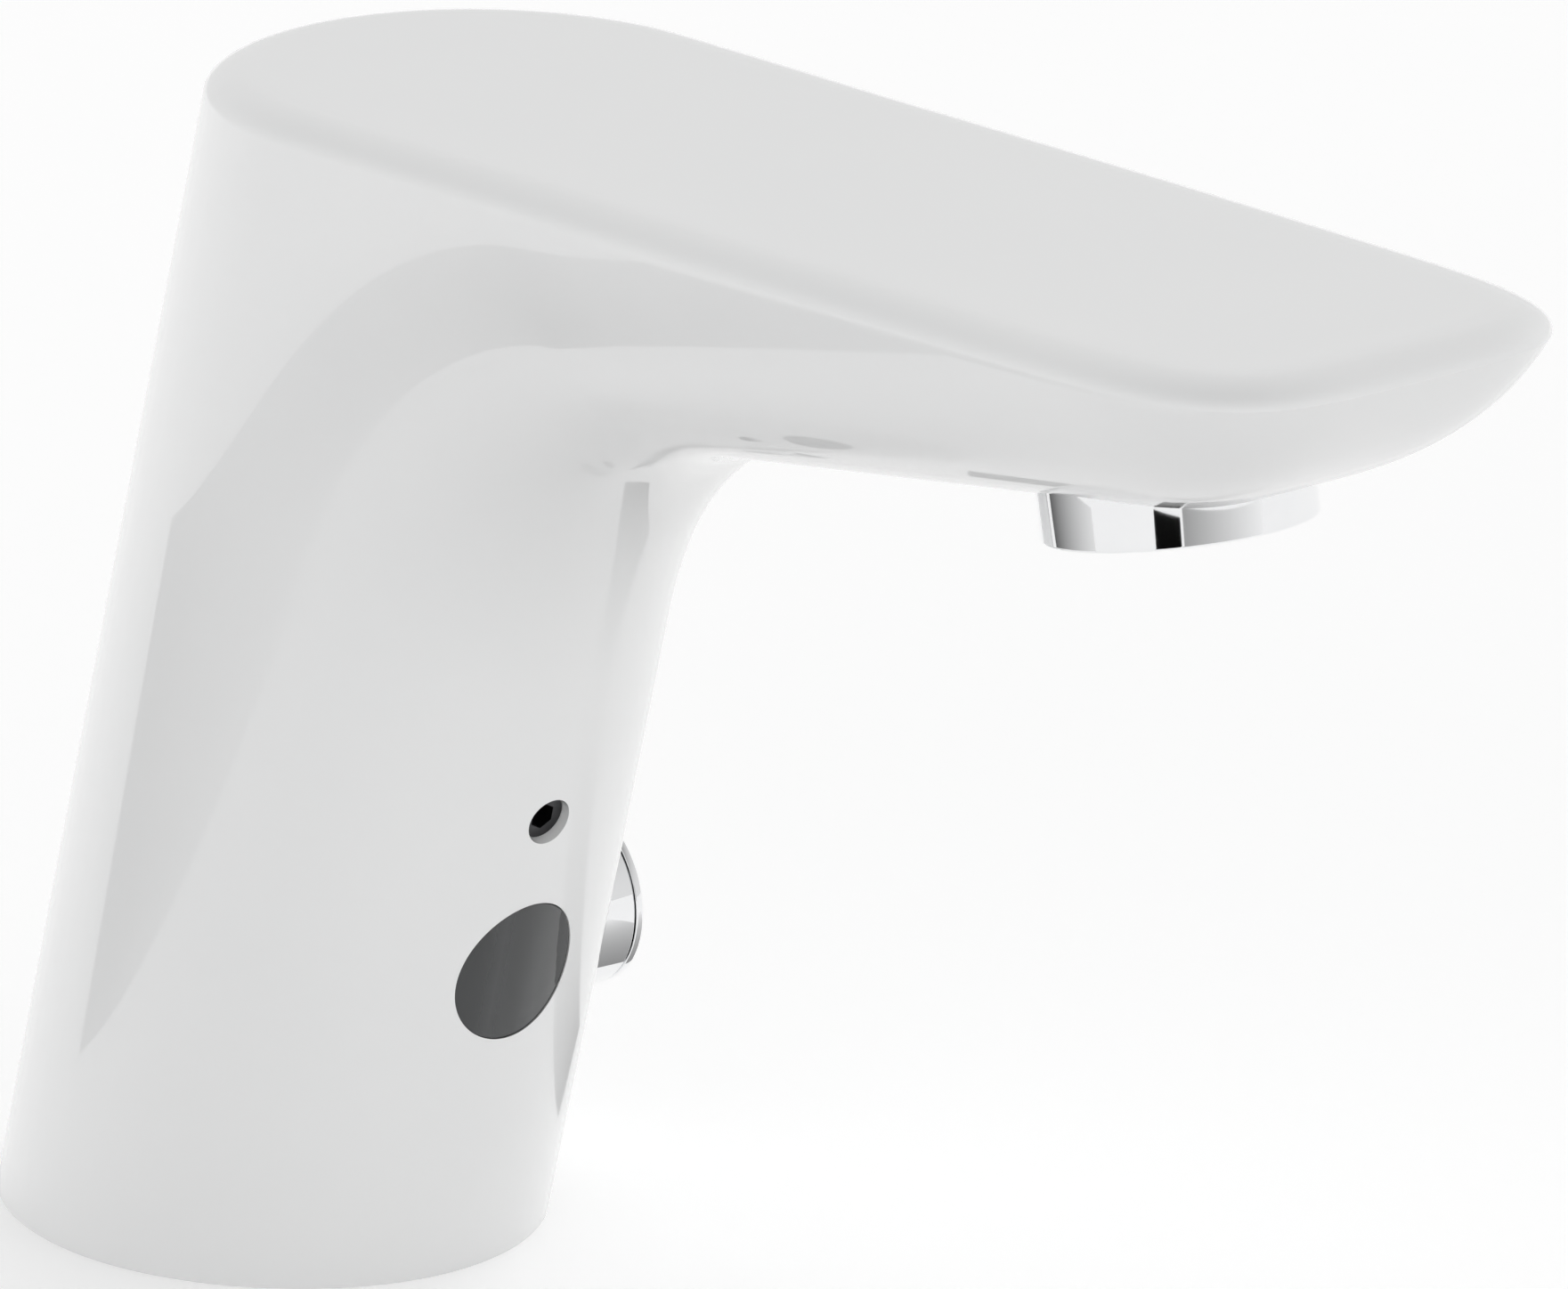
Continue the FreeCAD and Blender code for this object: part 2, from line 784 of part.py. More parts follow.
# ---- valve block, with the waterways that join the inlets to the cartridge
inlet_sides = {"hot": -1, "cold": 1}
port_x = knob_x - port_offset
channel_y = seat_y - channel_radius - channel_cover
check_top = check_bottom + check_height
poppet_low = check_bottom + check_seat_height + seat_gap
poppet_high = check_top - poppet_travel - poppet_top_gap
cold_height = knob_height + port_rise
hot_height = knob_height - port_rise
outlet_port_x = knob_x + port_offset
sensor_front = land_depth + seat_gap
sensor_rear = window_point(sensor_front + sensor_depth, sensor_half_height)
block_front = sensor_rear.x - block_sensor_gap
valve_x = block_front - valve_setback
pipe_x = valve_x + pipe_offset


def make_valve_block():
    body = slab(block_envelope, block_low, block_height)
    main = block(block_back, block_front, -half_width, block_side, block_low, block_height)
    column_front = inlet_x + inlet_radius + inlet_wall_front
    column = block(block_back, column_front, 0, inlet_y + inlet_radius + inlet_wall_side, block_low,
                   check_top + check_roof)
    shelf = block(valve_x, valve_x + valve_half, -valve_half, valve_half, block_height - shelf_thickness,
                  block_height)
    body = one(body.common(main.fuse(column).fuse(shelf)))
    for side in inlet_sides.values():
        y = inlet_y * side
        body = body.cut(upright(inlet_radius + seat_gap, inlet_x, y, block_low - 1, inlet_top + seat_gap))
        body = body.cut(upright(check_radius + seat_gap, inlet_x, y, inlet_top, check_top + seat_gap))
    body = body.cut(across(cup_radius + seat_gap, seat_y, half_width))
    body = body.cut(across(nut_radius + seat_gap, cup_front, half_width))
    # hot way: out of the side of the hot check valve to the lower port
    body = body.cut(cylinder(channel_radius, Vector(inlet_x, channel_y, hot_height),
                             Vector(port_x, channel_y, hot_height)))
    body = body.cut(across(channel_radius, channel_y, seat_y + 1, port_x, hot_height))
    # cold way: up from the cold check valve, across behind the cartridge and on to the upper port
    cold_x = inlet_x + channel_radius
    cold_y = inlet_y - channel_radius
    body = body.cut(upright(channel_radius, cold_x, cold_y, check_top - 1, cold_height))
    body = body.cut(across(channel_radius, channel_y, cold_y, cold_x, cold_height))
    body = body.cut(cylinder(channel_radius, Vector(cold_x, channel_y, cold_height),
                             Vector(port_x, channel_y, cold_height)))
    body = body.cut(across(channel_radius, channel_y, seat_y + 1, port_x, cold_height))
    # mixed way: from the middle port up to the solenoid valve
    body = body.cut(across(channel_radius, channel_y, seat_y + 1, outlet_port_x, knob_height))
    body = body.cut(upright(channel_radius, outlet_port_x, channel_y, knob_height, block_height + 1))
    # stud thread and the fixing threads
    stud_end = block_low + stud_thread_length
    body = body.cut(upright(stud_thread_radius, stud_x, stud_y, block_low - 1, stud_end))
    # room for the cable, from its grommet out to the front of the block
    lead_room = grommet_radius + lead_wall
    body = body.cut(upright(lead_room, cable_x, cable_y, block_low - 1, inlet_top))
    body = body.cut(block(cable_x, half_length, cable_y - lead_room, cable_y + lead_room, block_low - 1,
                          inlet_top))
    for x in block_screw_x:
        body = body.cut(upright(block_screw_radius + seat_gap, x, 0, block_low - 1,
                                plate_low + block_screw_length + thread_runout))
    for x, y in cover_screw_places:
        body = body.cut(upright(cover_screw_radius + seat_gap, x, y,
                                cover_top - cover_screw_length - thread_runout, block_height + 1))
    return one(body)


valve_base_top = block_height + valve_base_height
diaphragm_top = valve_base_top + diaphragm_thickness
cover_top = diaphragm_top + cover_height
cover_screw_places = [(valve_x + i * cover_screw_offset, j * cover_screw_offset)
                      for i in (-1, 1) for j in (-1, 1)]
pieces["valve_block"] = make_valve_block()


# ---- inlets and check valves, one set on each side
def make_inlet(y):
    body = upright(inlet_radius, inlet_x, y, plate_low, inlet_top)
    body = body.cut(upright(inlet_thread_radius, inlet_x, y, plate_low - 1, plate_low + inlet_thread_length))
    return one(body.cut(upright(check_seat_bore, inlet_x, y, plate_low, inlet_top + 1)))


def make_strainer(y):
    low = inlet_top + seat_gap
    disc = upright(check_radius, inlet_x, y, low, low + strainer_thickness)
    for i in range(strainer_holes):
        angle = 2 * pi * i / strainer_holes
        disc = disc.cut(upright(strainer_hole_radius, inlet_x + strainer_ring_radius * cos(angle),
                                y + strainer_ring_radius * sin(angle), low - 1, low + 1))
    return one(disc)


def make_check_body(y):
    body = upright_tube(check_radius, check_bore, inlet_x, y, check_bottom, check_top)
    body = body.cut(cylinder(channel_radius, Vector(inlet_x, y, hot_height),
                             Vector(inlet_x + check_radius * 2, y, hot_height)))
    seat = upright_tube(check_bore + seat_gap, check_seat_bore, inlet_x, y, check_bottom,
                        check_bottom + check_seat_height)
    low = check_bottom + guide_height
    guide = upright_tube(check_bore + seat_gap, poppet_stem + running_gap, inlet_x, y, low,
                         low + guide_thickness)
    for i in range(3):
        angle = 2 * pi * i / 3
        ring = (check_bore + poppet_stem) / 2 + guide_hole_shift
        guide = guide.cut(upright(guide_hole_radius, inlet_x + ring * cos(angle), y + ring * sin(angle),
                                  low - 1, low + guide_thickness + 1))
    return one(body.fuse(seat).fuse(guide))


def make_poppet(y):
    head = upright(poppet_radius, inlet_x, y, poppet_low, poppet_low + poppet_head)
    stem = upright(poppet_stem, inlet_x, y, poppet_low, poppet_high)
    return one(head.fuse(stem))


inlet_lines = [inlet_y * side for side in inlet_sides.values()]
pieces["inlet_strainers"] = Part.makeCompound([make_strainer(y) for y in inlet_lines])
pieces["check_valve_bodies"] = Part.makeCompound([make_check_body(y) for y in inlet_lines])
head_top = poppet_low + poppet_head
for name, side in inlet_sides.items():
    y = inlet_y * side
    pieces[name + "_inlet"] = make_inlet(y)
    pieces[name + "_poppet"] = make_poppet(y)
    pieces[name + "_check_spring"] = spring(inlet_x, y, head_top + spring_wire + seat_gap,
                                            check_bottom + guide_height - spring_wire - seat_gap,
                                            poppet_stem + spring_wire + check_spring_gap, check_spring_turns)

# ---- mixing cartridge on the knob's axis
disc_low = seat_y + seal_thickness
moving_low = disc_low + fixed_disc_thickness + film_gap
carrier_low = moving_low + moving_disc_thickness
carrier_high = carrier_low + carrier_thickness


def with_ports(shape, radius, low, high):
    for x, z in ((port_x, hot_height), (port_x, cold_height), (outlet_port_x, knob_height)):
        shape = shape.cut(across(radius, low, high, x, z))
    return one(shape)


def stop_ring(outer, inner, low, high):
    """ring with a gap in which a lug can turn by the knob's travel each way"""
    ring = across_tube(outer, inner, low, high)
    free = knob_travel + lug_half_angle + stop_margin
    return one(ring.cut(sector(outer * 2, low - 1, high + 1, free)))


def lug(radius, low, high):
    return across(radius, low, high).common(sector(radius * 2, low, high, lug_half_angle))


pieces["cartridge_seal"] = with_ports(across(disc_radius, seat_y, disc_low), channel_radius, seat_y - 1,
                                      disc_low + 1)
pieces["fixed_disc"] = with_ports(across(disc_radius, disc_low, moving_low - film_gap), disc_port_radius,
                                  disc_low - 1, moving_low + 1)


def make_moving_disc():
    disc = across(moving_disc_radius, moving_low, carrier_low)
    pocket = across(port_offset + disc_port_radius, moving_low - 1, moving_low + moving_disc_thickness / 2)
    keep = across(disc_port_radius, moving_low - 2, carrier_low + 1, knob_x, knob_height)
    return one(disc.cut(pocket.cut(keep)))


def make_cup():
    cup = across_tube(cup_radius, disc_radius + seat_gap, seat_y, cup_floor)
    front = across_tube(cup_radius, spindle_radius + running_gap, cup_floor, cup_front)
    groove_half = seal_wire + seat_gap
    groove = across_tube(seal_middle + groove_half, spindle_radius, seal_place - groove_half,
                         seal_place + groove_half)
    stop = stop_ring(disc_radius + 2 * seat_gap, carrier_radius + free_gap, carrier_low + free_gap, cup_floor)
    return one(cup.fuse(front).cut(groove).fuse(stop))


seal_place = (cup_floor + cup_front) / 2
seal_middle = spindle_radius + seal_wire + seat_gap
pieces["moving_disc"] = make_moving_disc()
pieces["cartridge_cup"] = make_cup()
pieces["spindle_seal"] = seal_ring(Vector(knob_x, seal_place, knob_height), seal_middle, seal_wire,
                                   Vector(0, 1, 0))


def make_spindle():
    carrier = across(carrier_radius, carrier_low, carrier_high)
    shaft = across(spindle_radius, carrier_low, spindle_end)
    tooth = lug(disc_radius - free_gap, carrier_low, carrier_high)
    flat = block(knob_x - 2 * spindle_radius, knob_x + 2 * spindle_radius, spindle_end - flat_length,
                 spindle_end + 1, knob_height + spindle_radius - flat_depth, knob_height + 2 * spindle_radius)
    thread = across(knob_screw_radius + seat_gap, spindle_end + knob_thread_runout - knob_screw_length,
                    spindle_end + 1)
    return one(carrier.fuse(shaft).fuse(tooth).cut(flat).cut(thread))


pieces["spindle"] = make_spindle()


def make_nut():
    ring = across_tube(nut_radius, nut_bore, cup_front, block_side)
    stop = stop_ring(nut_radius, limit_ring_radius + free_gap, block_side, limit_low + limit_ring_thickness)
    return one(ring.fuse(stop))


limit_low = block_side + free_gap
pieces["cartridge_nut"] = make_nut()
pieces["limit_ring"] = one(
    across_tube(limit_ring_radius, spindle_radius + seat_gap, limit_low, limit_low + limit_ring_thickness)
    .fuse(lug(limit_lug_radius, limit_low, limit_low + limit_ring_thickness)
          .cut(across(limit_ring_radius - 0.5, limit_low - 1, limit_low + limit_ring_thickness + 1))))

# ---- knob
cap_low = knob_end - cap_thickness
sleeve_end = cap_low - seam_width
web_low = spindle_end + seat_gap
web_high = web_low + knob_web
spigot_radius = knob_radius - seam_depth


def make_sleeve():
    body = across(knob_radius, knob_rear, sleeve_end)
    body = body.cut(across(knob_radius - sleeve_wall, knob_rear - 1, knob_rear + sleeve_recess))
    hub = across(spindle_radius + seat_gap, knob_rear, web_low)
    flat = block(knob_x - 2 * spindle_radius, knob_x + 2 * spindle_radius, knob_rear, web_low,
                 knob_height + spindle_radius - flat_depth + seat_gap, knob_height + 2 * spindle_radius)
    flat = flat.common(block(-far, far, spindle_end - flat_length + seat_gap, far, -far, far))
    body = body.cut(hub.cut(flat))
    body = body.cut(across(knob_screw_radius + seat_gap, web_low - 1, web_high + 1))
    return one(body.cut(across(knob_screw_head + free_gap, web_high, sleeve_end + 1))
               .cut(across(spigot_radius + seat_gap, sleeve_end - cap_spigot_length, sleeve_end + 1)))


pieces["knob_sleeve"] = make_sleeve()
cap_disc = across(knob_radius, cap_low, knob_end)
cap_edge = [e for e in cap_disc.Edges if e.BoundBox.YMin > knob_end - 0.01]
cap_disc = cap_disc.makeFillet(cap_rounding, cap_edge)
pieces["knob_cap"] = one(cap_disc.fuse(across(spigot_radius, sleeve_end - cap_spigot_length + seat_gap,
                                              cap_low)))
knob_screw_end = spindle_end + knob_web - knob_screw_length
pieces["knob_screw"] = one(
    across(knob_screw_head, web_high, web_high + knob_screw_head_height)
    .fuse(across(knob_screw_radius, knob_screw_end, web_high))
    .cut(hexagon(hex_across_flats, Vector(knob_x, web_high + knob_socket_floor, knob_height),
                 Vector(knob_x, web_high + knob_screw_head_height + 1, knob_height))))


def make_guide_ring():
    ring = across_tube(guide_ring_radius, knob_radius + running_gap, guide_low,
                       guide_low + guide_ring_thickness)
    return one(ring.common(envelope))


guide_low = half_width - wall - guide_ring_inset
pieces["guide_ring"] = make_guide_ring()

# ---- solenoid valve on the block
def valve_slab(low, high):
    plate = block(valve_x - valve_half, valve_x + valve_half, -valve_half, valve_half, low, high)
    corners = [e for e in plate.Edges if abs(e.BoundBox.ZLength - (high - low)) < 1e-6]
    return plate.makeFillet(valve_corner, corners)


def with_cover_screw_holes(shape, low, high):
    for x, y in cover_screw_places:
        shape = shape.cut(upright(cover_screw_radius + seat_gap, x, y, low - 1, high + 1))
    return shape


def make_valve_base():
    base = valve_slab(block_height, valve_base_top)
    arm = block(valve_x, pipe_x, -pipe_boss_radius, pipe_boss_radius, block_height, valve_base_top)
    boss = upright(pipe_boss_radius, pipe_x, 0, block_height, pipe_socket_low + pipe_socket_depth)
    base = base.fuse(arm).fuse(boss)
    chamber = upright(chamber_radius, valve_x, 0, valve_base_top - chamber_depth, valve_base_top + 1)
    seat = upright(valve_seat_radius, valve_x, 0, valve_base_top - chamber_depth, valve_base_top - seat_gap)
    base = base.cut(chamber.cut(seat))
    way_height = block_height + channel_radius + way_floor
    base = base.cut(upright(valve_seat_bore, valve_x, 0, way_height, valve_base_top + 1))
    base = base.cut(cylinder(channel_radius, Vector(valve_x, 0, way_height), Vector(pipe_x, 0, way_height)))
    base = base.cut(upright(pipe_bore, pipe_x, 0, way_height, pipe_socket_low + 1))
    base = base.cut(upright(pipe_radius + seat_gap, pipe_x, 0, pipe_socket_low,
                            pipe_socket_low + pipe_socket_depth + 1))
    base = base.cut(seal_ring(pipe_seal_middle, pipe_seal_radius, pipe_ring_wire + seat_gap, Vector(0, 0, 1)))
    base = base.cut(upright(channel_radius, outlet_port_x, channel_y, block_height - 1, valve_base_top - 1))
    base = base.cut(cylinder(screw_hole_radius + seat_gap, screw_point(0), screw_point(screw_bite)))
    return one(with_cover_screw_holes(base, block_height, valve_base_top))


screw_bite = screw_recess + screw_length + screw_bite_gap
pipe_socket_low = valve_base_top - pipe_socket_drop
pipe_seal_radius = pipe_radius + pipe_ring_wire + seat_gap
pipe_seal_middle = Vector(pipe_x, 0, pipe_socket_low + pipe_seal_rise)
pieces["valve_base"] = make_valve_base()
pieces["diaphragm"] = one(
    upright(diaphragm_radius, valve_x, 0, valve_base_top, diaphragm_top)
    .fuse(upright(diaphragm_boss, valve_x, 0, diaphragm_top, diaphragm_top + diaphragm_boss_height)))
core_seat = cover_top - core_flange_depth


def make_cover():
    cover = valve_slab(diaphragm_top, cover_top)
    cover = cover.cut(upright(chamber_radius, valve_x, 0, diaphragm_top - 1, diaphragm_top + chamber_depth))
    cover = cover.cut(upright(core_flange + seat_gap, valve_x, 0, diaphragm_top, core_seat))
    cover = cover.cut(upright(core_radius + seat_gap, valve_x, 0, diaphragm_top, cover_top + 1))
    return one(with_cover_screw_holes(cover, diaphragm_top, cover_top))


pieces["valve_cover"] = make_cover()


def make_cover_screws():
    screws = []
    for x, y in cover_screw_places:
        head = upright(cover_screw_head, x, y, cover_top, cover_top + cover_screw_head_height)
        shank = upright(cover_screw_radius, x, y, cover_top - cover_screw_length, cover_top)
        socket = hexagon(hex_across_flats, Vector(x, y, cover_top + cover_socket_floor),
                         Vector(x, y, cover_top + cover_screw_head_height + 1))
        screws.append(one(head.fuse(shank).cut(socket)))
    return Part.makeCompound(screws)


pieces["cover_screws"] = make_cover_screws()
core_low = diaphragm_top + chamber_depth + core_foot_gap
bobbin_low = cover_top + yoke_thickness + 2 * seat_gap
bobbin_high = bobbin_low + bobbin_height
yoke_low = cover_top + seat_gap
yoke_high = bobbin_high + seat_gap + yoke_thickness
coil_nut_low = yoke_high + seat_gap
coil_nut_high = coil_nut_low + nut_height
core_top = coil_nut_high + core_stand
pole_low = core_top - pole_height


def make_core_tube():
    body = upright_tube(core_radius, core_bore, valve_x, 0, core_low, core_top)
    flange = upright_tube(core_flange, core_bore, valve_x, 0, core_low, core_seat - seat_gap)
    return one(body.fuse(flange))


pieces["core_tube"] = make_core_tube()
pieces["core_pole"] = upright(core_bore - seat_gap, valve_x, 0, pole_low, core_top)
pad_low = diaphragm_top + diaphragm_boss_height + pad_gap
plunger_low = pad_low + pad_thickness
plunger_high = pole_low - plunger_travel - plunger_stop_gap
pocket_low = plunger_high - plunger_pocket_depth
pieces["plunger_pad"] = upright(pad_radius, valve_x, 0, pad_low, plunger_low)
pieces["plunger"] = one(upright(core_bore - running_gap, valve_x, 0, plunger_low, plunger_high)
                        .cut(upright(plunger_pocket, valve_x, 0, pocket_low, plunger_high + 1)))
pieces["plunger_spring"] = spring(valve_x, 0, pocket_low + spring_wire + seat_gap,
                                  pole_low - spring_wire - seat_gap,
                                  plunger_pocket - spring_wire - plunger_spring_gap, plunger_spring_turns)
bobbin_bore = core_radius + running_gap
pieces["coil_bobbin"] = one(
    upright_tube(bobbin_bore + bobbin_wall, bobbin_bore, valve_x, 0, bobbin_low, bobbin_high)
    .fuse(upright_tube(bobbin_flange, bobbin_bore, valve_x, 0, bobbin_low, bobbin_low + flange_thickness))
    .fuse(upright_tube(bobbin_flange, bobbin_bore, valve_x, 0, bobbin_high - flange_thickness, bobbin_high)))
pieces["coil_winding"] = upright_tube(winding_radius, bobbin_bore + bobbin_wall + seat_gap, valve_x, 0,
                                      bobbin_low + flange_thickness + seat_gap,
                                      bobbin_high - flange_thickness - seat_gap)


def make_yoke():
    reach = bobbin_flange + free_gap + yoke_thickness
    frame = block(valve_x - yoke_half, valve_x + yoke_half, -reach, reach, yoke_low, yoke_high)
    inside = bobbin_flange + free_gap
    frame = frame.cut(block(valve_x - reach, valve_x + reach, -inside, inside, yoke_low + yoke_thickness,
                            yoke_high - yoke_thickness))
    return one(frame.cut(upright(core_radius + seat_gap, valve_x, 0, yoke_low - 1, yoke_high + 1)))


pieces["coil_yoke"] = make_yoke()
pieces["coil_nut"] = one(
    hexagon(nut_across, Vector(valve_x, 0, coil_nut_low), Vector(valve_x, 0, coil_nut_high))
    .cut(upright(core_radius + seat_gap, valve_x, 0, yoke_high - 1, coil_nut_high + 1)))


def make_terminals():
    blades = []
    for side in (-1, 1):
        x = valve_x - yoke_half - terminal_gap
        y = side * terminal_offset
        blades.append(block(x, x + terminal_thickness, y - terminal_half_width, y + terminal_half_width,
                            bobbin_high, bobbin_high + terminal_height))
    return Part.makeCompound(blades)


pieces["coil_terminals"] = make_terminals()

# ---- nozzle inside the spout
port_rise_above_rim = nozzle_foot + nozzle_port_rise


def port_point(forward):
    """point on the pipe's run into the nozzle, a distance ahead of the outlet's axis"""
    return outlet_point(port_rise_above_rim, 0.0, forward)


nozzle_top = nozzle_foot + nozzle_height


def make_nozzle():
    body = cylinder(nozzle_radius, outlet_point(nozzle_foot), outlet_point(nozzle_top))
    flange = cylinder(nozzle_flange_radius, outlet_point(nozzle_foot),
                      outlet_point(nozzle_foot + nozzle_flange))
    flange = flange.common(block(0, far, -nozzle_flange_side, nozzle_flange_side, 0, far))
    skirt = cylinder(skirt_radius, outlet_point(nozzle_foot - skirt_length), outlet_point(nozzle_foot + 1))
    stub = cylinder(stub_radius, port_point(-nozzle_cavity), port_point(-stub_length))
    body = body.fuse(flange).fuse(skirt).fuse(stub)
    body = body.cut(cylinder(nozzle_cavity, outlet_point(0),
                             outlet_point(nozzle_foot + nozzle_cavity_height)))
    body = body.cut(cylinder(skirt_radius - skirt_wall, outlet_point(0), outlet_point(nozzle_foot)))
    body = body.cut(cylinder(pipe_bore, port_point(-nozzle_cavity / 2), port_point(-stub_length)))
    body = body.cut(cylinder(pipe_radius + seat_gap, port_point(-nozzle_radius),
                             port_point(-stub_length - 1)))
    body = body.cut(seal_ring(port_point(-stub_seal), pipe_seal_radius, pipe_ring_wire + seat_gap,
                              port_point(1) - port_point(0)))
    for side, ahead in nozzle_screw_places:
        body = body.cut(cylinder(nozzle_screw_radius + seat_gap, outlet_point(nozzle_foot - 1, side, ahead),
                                 outlet_point(nozzle_foot + nozzle_flange + 1, side, ahead)))
    return one(body)


stub_seal = (nozzle_radius + stub_length) / 2
pieces["nozzle"] = make_nozzle()
pieces["pipe_seals"] = Part.makeCompound([
    seal_ring(pipe_seal_middle, pipe_seal_radius, pipe_ring_wire, Vector(0, 0, 1)),
    seal_ring(port_point(-stub_seal), pipe_seal_radius, pipe_ring_wire, port_point(1) - port_point(0))])


def make_nozzle_screws():
    screws = []
    seat = nozzle_foot + nozzle_flange
    tip = nozzle_foot - nozzle_thread + screw_tip_gap
    for side, ahead in nozzle_screw_places:
        head = cylinder(nozzle_screw_head, outlet_point(seat, side, ahead),
                        outlet_point(seat + nozzle_screw_head_height, side, ahead))
        shank = cylinder(nozzle_screw_radius, outlet_point(tip, side, ahead),
                         outlet_point(seat, side, ahead))
        socket = hexagon(nozzle_screw_head, outlet_point(seat + nozzle_socket_floor, side, ahead),
                         outlet_point(seat + nozzle_screw_head_height + 1, side, ahead))
        screws.append(one(head.fuse(shank).cut(socket)))
    return Part.makeCompound(screws)


pieces["nozzle_screws"] = make_nozzle_screws()


def make_union_nut():
    far = stub_length - union_overlap + union_length
    nut = hexagon(union_across, port_point(-far), port_point(-stub_length + union_overlap))
    nut = nut.cut(cylinder(stub_radius + seat_gap, port_point(-stub_length - seat_gap),
                           port_point(-stub_length + union_overlap + 1)))
    return one(nut.cut(cylinder(pipe_radius + seat_gap, port_point(-far - 1), port_point(0))))


pieces["union_nut"] = make_union_nut()

# ---- outlet pipe: up from the valve, one bend, and along the spout
climb = tan(radians(outlet_tilt))


def make_pipe():
    start = Vector(pipe_x, 0, pipe_socket_low + seat_gap)
    finish = port_point(-nozzle_radius - seat_gap)
    corner = Vector(pipe_x, 0, finish.z - (finish.x - pipe_x) * climb)
    up = Vector(0, 0, 1)
    ahead = (finish - corner).normalize()
    run = pipe_bend * tan(up.getAngle(ahead) / 2)
    leave = corner - up * run
    arrive = corner + ahead * run
    centre = leave + Vector(pipe_bend, 0, 0)
    middle = centre + (corner - centre).normalize() * pipe_bend
    path = Part.Wire([Part.LineSegment(start, leave).toShape(), Part.Arc(leave, middle, arrive).toShape(),
                      Part.LineSegment(arrive, finish).toShape()])
    solids = []
    for radius in (pipe_radius, pipe_bore):
        ring = Part.Wire([Part.Circle(start, up, radius).toShape()])
        solids.append(path.makePipeShell([ring], True, False))
    print("pipe bend radius", pipe_bend, "length", round(path.Length, 1))
    return one(solids[0].cut(solids[1]))


pieces["outlet_pipe"] = make_pipe()

# ---- aerator
def make_collar():
    body = cylinder(outlet_radius, outlet_point(0), outlet_point(nozzle_foot - seat_gap))
    rim = [e for e in body.Edges if (e.CenterOfMass - outlet_point(0)).Length < 0.01 and e.isClosed()]
    body = body.makeFillet(collar_rounding, rim)
    bore = outlet_radius - collar_wall
    body = body.cut(cylinder(bore, outlet_point(collar_lip), outlet_point(nozzle_foot + 1)))
    return one(body.cut(cylinder(bore - collar_lip_width, outlet_point(-1), outlet_point(collar_lip + 1))))


pieces["aerator_collar"] = make_collar()


def pierced(shape, hole, pitch, rings, low, high):
    """holes on rings about the outlet's axis, six more on each"""
    shape = shape.cut(cylinder(hole, outlet_point(low), outlet_point(high)))
    for ring in range(1, rings + 1):
        for i in range(6 * ring):
            angle = 2 * pi * i / (6 * ring)
            side = ring * pitch * sin(angle)
            ahead = ring * pitch * cos(angle)
            shape = shape.cut(cylinder(hole, outlet_point(low, side, ahead), outlet_point(high, side, ahead)))
    return one(shape)


insert_high = insert_low + insert_height - insert_flange_height
screen_low = insert_high + seat_gap
limiter_low = screen_low + screen_thickness + seat_gap


def make_insert():
    body = cylinder(insert_radius, outlet_point(insert_low), outlet_point(insert_high))
    flange = cylinder(insert_flange, outlet_point(insert_low),
                      outlet_point(insert_low + insert_flange_height))
    return pierced(one(body.fuse(flange)), insert_hole, insert_pitch, insert_rings, insert_low - 1,
                   insert_high + 1)


pieces["aerator_insert"] = make_insert()
pieces["aerator_screen"] = pierced(
    cylinder(insert_radius, outlet_point(screen_low), outlet_point(screen_low + screen_thickness)),
    screen_hole, screen_pitch, screen_rings, screen_low - 1, screen_low + 2)
pieces["flow_limiter"] = pierced(
    cylinder(limiter_radius, outlet_point(limiter_low), outlet_point(limiter_low + limiter_thickness)),
    insert_hole, limiter_pitch, limiter_rings, limiter_low - 1, limiter_low + limiter_thickness + 1)
pieces["aerator_seal"] = tube(insert_radius, limiter_radius + seat_gap, outlet_point(limiter_low),
                              outlet_point(limiter_low + limiter_thickness))

# ---- sensor behind the window
lens_flange_depth = spot_depth + lens_seal_thickness


def make_lens():
    plug = cylinder(window_radius - window_gap, window_point(-beyond / 2),
                    window_point(lens_flange_depth + lens_root))
    skin_back = window_point(lens_recess) - window_point(0)
    front = body_outside.copy()
    front.translate(skin_back)
    plug = plug.common(front)
    flange = cylinder(lens_flange_radius, window_point(lens_flange_depth), window_point(land_depth))
    hollow = cylinder(lens_hollow, window_point(lens_front), window_point(beyond / 2))
    return one(plug.fuse(flange).cut(hollow))


def window_box(half_y, half_rise, near, deep):
    """box square to the window's axis, between two depths"""
    corners = [window_point(near, i * half_rise) + Vector(0, j * half_y, 0)
               for i, j in ((-1, -1), (-1, 1), (1, 1), (1, -1))]
    face = Part.Face(Part.makePolygon(corners + corners[:1]))
    return face.extrude(window_point(deep) - window_point(near))


board_back = board_depth + board_thickness
board_half_width = sensor_half_width - sensor_wall - running_gap
board_half_height = sensor_half_height - sensor_wall - running_gap


def make_sensor_housing():
    box = window_box(sensor_half_width, sensor_half_height, sensor_front, sensor_front + sensor_depth)
    ears = window_box(sensor_half_width / 2, sensor_ear_reach, sensor_front,
                      sensor_front + sensor_ear_thickness)
    box = one(box.fuse(ears))
    box = box.cut(window_box(sensor_half_width - sensor_wall, sensor_half_height - sensor_wall,
                             sensor_front - 1, board_back + seat_gap))
    for way in (1, -1):
        rise = way * sensor_screw_offset
        box = box.cut(cylinder(sensor_screw_radius + seat_gap, window_point(sensor_front - 1, rise),
                               window_point(sensor_front + sensor_ear_thickness + 1, rise)))
    return one(box)


